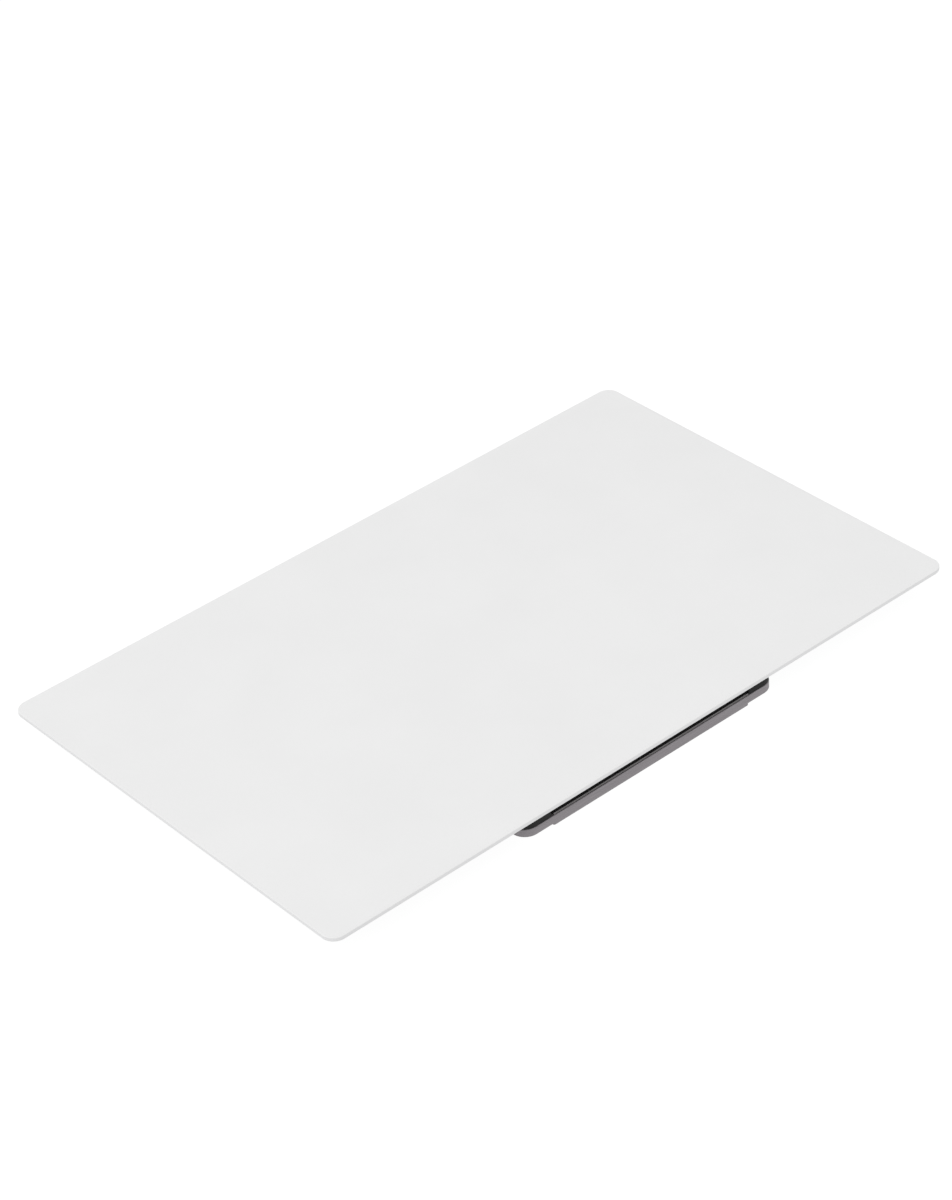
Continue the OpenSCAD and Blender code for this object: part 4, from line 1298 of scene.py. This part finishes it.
bpy.ops.object.select_all(action="DESELECT")
bpy.ops.mesh.primitive_circle_add(vertices=3, radius=1, rotation=(math.pi / 2, -math.pi / 2, 0))
thread = settle("thread")
with editing(thread):
    bpy.ops.mesh.select_all(action="SELECT")
    across_bore = (THREAD_DEPTH + THREAD_ROOT) / TRIANGLE_WIDTH
    up_bore = THREAD_FOOT / TRIANGLE_HEIGHT
    bpy.ops.transform.resize(value=(across_bore, 1, up_bore), center_override=(0, 0, 0))
    crest = BORE_RADIUS - THREAD_DEPTH
    first_turn = nut_low.z + (THREAD_PITCH + BORE_MOUTH) / 2
    bpy.ops.transform.translate(value=(crest + across_bore, 0, first_turn))
wind(thread, "Z", THREAD_PITCH, THREAD_TURNS, TURN_STEPS, sides=3)
with editing(thread):
    bpy.ops.mesh.select_all(action="SELECT")
    bpy.ops.transform.translate(value=(middle.x, middle.y, 0))
join(nut, thread)
nuts = spread_over(nut, "mount_nut_set", places["mount_nuts"])
dress(nuts, "nut_brass", ["mount_nuts"])
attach(nuts, "frame")

# %% [markdown]
# Eight rivets clamp the roots of the leaves. A rivet has a domed head on one side, and on the other a head
# that was hammered out of its shank. A squashed sphere would be too round, so each head is a low drum whose
# rim is bevelled in many steps. The shank and the second head are pulled out of the first one.

# %% Model the leaf rivets
RIVET_HEAD = 0.25 * MM
RIVET_DOME = 0.22 * MM
RIVET_SHANK = 0.6 * MM

rivet_low, rivet_high = places["leaf_rivets"][0]
middle = (rivet_low + rivet_high) / 2
rivet_radius = (rivet_high.x - rivet_low.x) / 2
lower_head = rivet_low.z + RIVET_HEAD
upper_head = rivet_high.z - RIVET_HEAD
rivet = add_drum("rivet", middle, rivet_radius, rivet_low.z, lower_head, sides=32)
with editing(rivet):
    pick("FACE", on_plane(2, lower_head))
    bpy.ops.mesh.inset(thickness=rivet_radius - RIVET_SHANK)
    extrude((0, 0, upper_head - lower_head))
    extrude((0, 0, 0))
    widening = rivet_radius / RIVET_SHANK
    shank_end = (middle.x, middle.y, upper_head)
    bpy.ops.transform.resize(value=(widening, widening, 1), center_override=shank_end)
    extrude((0, 0, RIVET_HEAD))
    bevel(on_plane(2, rivet_low.z, rivet_high.z), RIVET_DOME, 6)
rivets = spread_over(rivet, "leaf_rivet_set", places["leaf_rivets"])
dress(rivets, "rivet_steel", ["leaf_rivets"])
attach(rivets, "frame")

# %% [markdown]
# The board has gold test pads, where the factory's needles touch it, and the needles leave a small dent in
# each. They lie in rows on the free parts of the board. One pad is a flat drum with a softened rim and a
# dent, and the rest are copies of it.

# %% Model the test pads
PAD_RADIUS = 0.5 * MM
PAD_HEIGHT = 0.035 * MM
PAD_EDGE = 0.015 * MM
DENT_RADIUS = 0.16 * MM
DENT_DEPTH = 0.015 * MM
PAD_STEP = 2.4
PAD_ROWS = [
    ((-27, 22.4), (1, 0), 12),
    ((8, 22.4), (1, 0), 5),
    ((7, -14.2), (1, 0), 10),
    ((-31, -11), (0, 1), 11),
]

board_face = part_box("sensor_board")[0].z
middle = Vector((*PAD_ROWS[0][0], 0)) * MM
pad = add_drum("pad", middle, PAD_RADIUS, board_face - PAD_HEIGHT, board_face, sides=24)
pad_face = board_face - PAD_HEIGHT
with editing(pad):
    bevel(on_plane(2, pad_face), PAD_EDGE, 2)
    pick("FACE", on_plane(2, pad_face))
    bpy.ops.mesh.inset(thickness=PAD_RADIUS - PAD_EDGE - DENT_RADIUS)
    bpy.ops.mesh.inset(thickness=DENT_RADIUS / 2, depth=-DENT_DEPTH)
pad_places = [
    Vector((start[0] + way[0] * PAD_STEP * index, start[1] + way[1] * PAD_STEP * index, 0)) * MM
    for start, way, count in PAD_ROWS
    for index in range(count)
]
pads = copy_along(pad, "gold_test_pads", [place - pad_places[0] for place in pad_places[1:]])
dress(pads, "contact_gold")
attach(pads, "plate")

# %% [markdown]
# The chips are blocks of black resin, and the motion sensor has a metal lid. A plain box would do from
# afar, but the mould leaves a softened rim, and a small round dimple marks the corner where the first foot
# is. The rim is bevelled, and the dimple is drilled a little way in.

# %% Model the chips
CHIP_CORNER = 0.12 * MM
CHIP_EDGE = 0.09 * MM
DIMPLE_RADIUS = 0.32 * MM
DIMPLE_DEPTH = 0.05 * MM
DIMPLE_INSET = 0.8 * MM

CHIPS = {
    "haptic_driver": "driver_chip",
    "memory_chip": "memory_block",
    "motion_sensor": "motion_lid",
    "touch_controller": "touch_chip",
}
for node, finished in CHIPS.items():
    chip_low, chip_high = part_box(node)
    chip = add_box(finished, chip_low, chip_high)
    with editing(chip):
        bevel(upright, CHIP_CORNER, 2)
        bevel(on_plane(2, chip_low.z), CHIP_EDGE, 3)
    dimple = (chip_low.x + DIMPLE_INSET, chip_high.y - DIMPLE_INSET)
    drill(chip, dimple, DIMPLE_RADIUS, DIMPLE_DEPTH)
    dress(chip, slot_of[node], [node])
    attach(chip, "plate")

# %% [markdown]
# The driver and the memory are soldered by rows of small tinned feet that reach out from under the resin.
# Each foot is a little ramp of solder: a box whose outer top edge is bevelled away.

# %% Model the feet of the chips
FOOT_WIDTH = 0.26 * MM
FOOT_REACH = 0.34 * MM
FOOT_UNDER = 0.1 * MM
FOOT_HEIGHT = 0.2 * MM
FOOT_RAMP = 0.16 * MM
FOOT_HOLLOW = 0.25
FOOT_PITCH = 0.5 * MM
FOOT_MARGIN = 0.5 * MM


def foot_row(chip, way):
    """The feet along one side of a chip; way is the direction in which they reach out."""
    low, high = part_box(chip)
    axis = 0 if way[0] else 1
    along = 1 - axis
    count = int((high[along] - low[along] - 2 * FOOT_MARGIN) / FOOT_PITCH) + 1
    edge = high[axis] if way[axis] > 0 else low[axis]
    start = (high[along] + low[along] - (count - 1) * FOOT_PITCH) / 2
    foot_low, foot_high = Vector(), Vector()
    reach = sorted((edge - way[axis] * FOOT_UNDER, edge + way[axis] * FOOT_REACH))
    foot_low[axis], foot_high[axis] = reach
    foot_low[along], foot_high[along] = start - FOOT_WIDTH / 2, start + FOOT_WIDTH / 2
    foot_low.z, foot_high.z = board_face - FOOT_HEIGHT, board_face
    foot = add_box("foot", foot_low, foot_high)
    outer = edge + way[axis] * FOOT_REACH
    with editing(foot):
        pick("EDGE", both(on_plane(axis, outer), on_plane(2, foot_low.z)))
        bpy.ops.mesh.bevel(offset=FOOT_RAMP, segments=4, profile=FOOT_HOLLOW, affect="EDGES")
    step = Vector()
    step[along] = FOOT_PITCH
    return copy_along(foot, "feet", [step * (index + 1) for index in range(count - 1)])


ALL_ROUND = ((1, 0), (-1, 0), (0, 1), (0, -1))
rows = [foot_row("haptic_driver", way) for way in ALL_ROUND]
rows += [foot_row("memory_chip", way) for way in ALL_ROUND[2:]]
feet = join(*rows)
feet.name = "chip_feet"
dress(feet, "solder_tin")
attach(feet, "plate")

# %% [markdown]
# Rows of ceramic capacitors stand on the board. Each is a small fired brick whose two ends were dipped in
# tin and then soldered down. One brick gets softened edges, one end is mirrored to the other side, and a
# wedge of solder leans on each end. All three are copied to every place, each as a piece of its own, as
# each has its own finish.

# %% Model the capacitors
BRICK_EDGE = 0.07 * MM
END_LENGTH = 0.35 * MM
SOLDER_REACH = 0.2 * MM
SOLDER_HEIGHT = 0.4 * MM
SOLDER_TOE = 0.05 * MM
SOLDER_INSET = 0.06 * MM

bricks = solids_in("capacitors")
brick_low, brick_high = bricks[0]
brick_middle = (brick_low + brick_high) / 2
end_face = brick_low.y - END_LENGTH

brick = add_box("brick", brick_low, brick_high)
with editing(brick):
    bevel(front_to_rear, BRICK_EDGE, 2)

end_high = Vector((brick_high.x, brick_low.y, brick_high.z))
tin_end = add_box("tin_end", Vector((brick_low.x, end_face, brick_low.z)), end_high)
with editing(tin_end):
    bevel(lambda edge: front_to_rear(edge) or on_plane(1, end_face)(edge), BRICK_EDGE, 2)

wedge_low = Vector((brick_low.x + SOLDER_INSET, end_face - SOLDER_REACH, board_face - SOLDER_HEIGHT))
wedge_high = Vector((brick_high.x - SOLDER_INSET, end_face + SOLDER_INSET, board_face))
wedge = add_box("wedge", wedge_low, wedge_high)
with editing(wedge):
    pick("EDGE", both(on_plane(1, wedge_low.y), on_plane(2, wedge_low.z)))
    bpy.ops.transform.translate(value=(0, 0, SOLDER_HEIGHT - SOLDER_TOE))


def both_ends(piece):
    """Mirrors a piece to the other end of the brick and joins the two."""
    return join(piece, twin(piece, "far_end", (1, -1, 1), brick_middle))


CAPACITOR_PARTS = (
    (brick, "capacitor_bricks", "capacitor_ceramic", ["capacitors"]),
    (both_ends(tin_end), "capacitor_tin_ends", "solder_tin", ["capacitor_ends"]),
    (both_ends(wedge), "capacitor_solder", "solder_tin", []),
)
for part, name, slot, stands_for in CAPACITOR_PARTS:
    spread_over(part, name, bricks)
    dress(part, slot, stands_for)
    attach(part, "plate")

# %% [markdown]
# The power choke is a coil pressed into a block of iron powder, so its form is plain and its edges are
# soft. Two tinned straps come down its sides and turn out into feet. A strap is a thin box, cut near the
# board, and its foot is pulled out of the lowest part of its outer face.

# %% Model the choke
CHOKE_CORNER = 0.6 * MM
CHOKE_EDGE = 0.14 * MM
STRAP_WIDTH = 2.2 * MM
STRAP_THICKNESS = 0.1 * MM
STRAP_HEIGHT = 0.65 * MM
STRAP_FOOT = 0.35 * MM
STRAP_EDGE = 0.04 * MM

choke_low, choke_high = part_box("power_inductor")
choke_middle = (choke_low + choke_high) / 2
choke = add_box("choke_block", choke_low, choke_high)
with editing(choke):
    bevel(upright, CHOKE_CORNER, 5)
    bevel(on_plane(2, choke_low.z), CHOKE_EDGE, 3)
dress(choke, "ferrite", ["power_inductor"])
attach(choke, "plate")

strap_face = choke_high.x + STRAP_THICKNESS
foot_height = board_face - STRAP_THICKNESS
strap_low = Vector((choke_high.x - STRAP_EDGE, choke_middle.y - STRAP_WIDTH / 2, board_face - STRAP_HEIGHT))
strap_high = Vector((strap_face, choke_middle.y + STRAP_WIDTH / 2, board_face))
strap = add_box("strap", strap_low, strap_high)
with editing(strap):
    bevel(both(on_plane(0, strap_face), on_plane(2, strap_low.z)), STRAP_EDGE, 3)
    cut_across(2, [foot_height])
    pick("FACE", both(on_plane(0, strap_face), between(2, foot_height, board_face)))
    extrude((STRAP_FOOT, 0, 0))
join(strap, twin(strap, "far_strap", (-1, 1, 1), choke_middle))
strap.name = "choke_straps"
dress(strap, "solder_tin")
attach(strap, "plate")

# %% [markdown]
# The socket's contacts end in a row of gold tails that lie on the board. The punch that trims them rounds
# their ends, so each has its outer edge bevelled, and its sides a little.

# %% Model the tails of the socket
TAIL_END = 0.1 * MM
TAIL_SIDE = 0.03 * MM

tails = solids_in("socket_contacts")
tail_low, tail_high = tails[0]
tail = add_box("tail", tail_low, tail_high)
with editing(tail):
    bevel(both(on_plane(1, tail_low.y), on_plane(2, tail_low.z)), TAIL_END, 4)
    bevel(both(front_to_rear, on_plane(2, tail_low.z)), TAIL_SIDE, 2)
spread_over(tail, "socket_tails", tails)
dress(tail, "contact_gold", ["socket_contacts"])
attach(tail, "plate")

# %% [markdown]
# Each coil is enamelled copper wire, wound on its bobbin in tight turns. A striped finish could stand for
# the turns, but real ones also show at the coil's edges. A Screw modifier winds a small round section into
# a helix. The helix is then pulled apart, first sideways and then up and down, which gives every turn four
# straight runs and four tight corners. The layers underneath are one plain ring.

# %% Wind the turns of one coil
WIRE = 0.2 * MM
WIRE_SIDES = 8
COIL_CORNER = 0.4 * MM
COIL_TURNS = 31
ROUND_STEPS = 16

coil_low, coil_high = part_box("coil_1")
coil_middle = (coil_low + coil_high) / 2
coil_size = coil_high - coil_low
turn_radius = COIL_CORNER - WIRE / 2

bpy.ops.object.select_all(action="DESELECT")
bpy.ops.mesh.primitive_circle_add(vertices=WIRE_SIDES, radius=WIRE / 2, location=(turn_radius, 0, 0))
winding = settle("winding")
turn_rise = (coil_size.y - WIRE) / COIL_TURNS
wind(winding, "Y", turn_rise, COIL_TURNS, ROUND_STEPS, sides=WIRE_SIDES)
with editing(winding):
    bpy.ops.mesh.select_all(action="SELECT")
    bpy.ops.transform.rotate(value=math.pi / ROUND_STEPS, orient_axis="Y", center_override=(0, 0, 0))
    for axis in (0, 2):
        for side in (-1, 1):
            pick("VERT", lambda vertex: vertex.co[axis] * side > 0)
            pull = Vector()
            pull[axis] = side * (coil_size[axis] / 2 - COIL_CORNER)
            bpy.ops.transform.translate(value=pull)
    bpy.ops.mesh.select_all(action="SELECT")
    bpy.ops.transform.translate(value=(coil_middle.x, coil_low.y + WIRE / 2, coil_middle.z))
print("turns of a coil:", COIL_TURNS, "faces:", len(winding.data.polygons))

# %% Fill the inner layers and set the four coils
HOLE_WIDTH = 4.7 * MM
HOLE_HEIGHT = 0.9 * MM

half_wire = Vector((WIRE / 2, 0, WIRE / 2))
layers = add_box("layers", coil_low + half_wire, coil_high - half_wire)
with editing(layers):
    bevel(front_to_rear, turn_radius, 4)
half_hole = Vector((HOLE_WIDTH / 2, coil_size.y, HOLE_HEIGHT / 2))
cutter = add_box("cutter", coil_middle - half_hole, coil_middle + half_hole)
cut_away(layers, cutter)
join(winding, layers)
for number in range(1, 5):
    node = "coil_" + str(number)
    coil = twin(winding, "copper_" + node)
    with editing(coil):
        bpy.ops.mesh.select_all(action="SELECT")
        bpy.ops.transform.translate(value=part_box(node)[0] - coil_low)
    dress(coil, "coil_copper", [node], smooth=60)
    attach(coil, "frame")
bpy.data.objects.remove(winding)
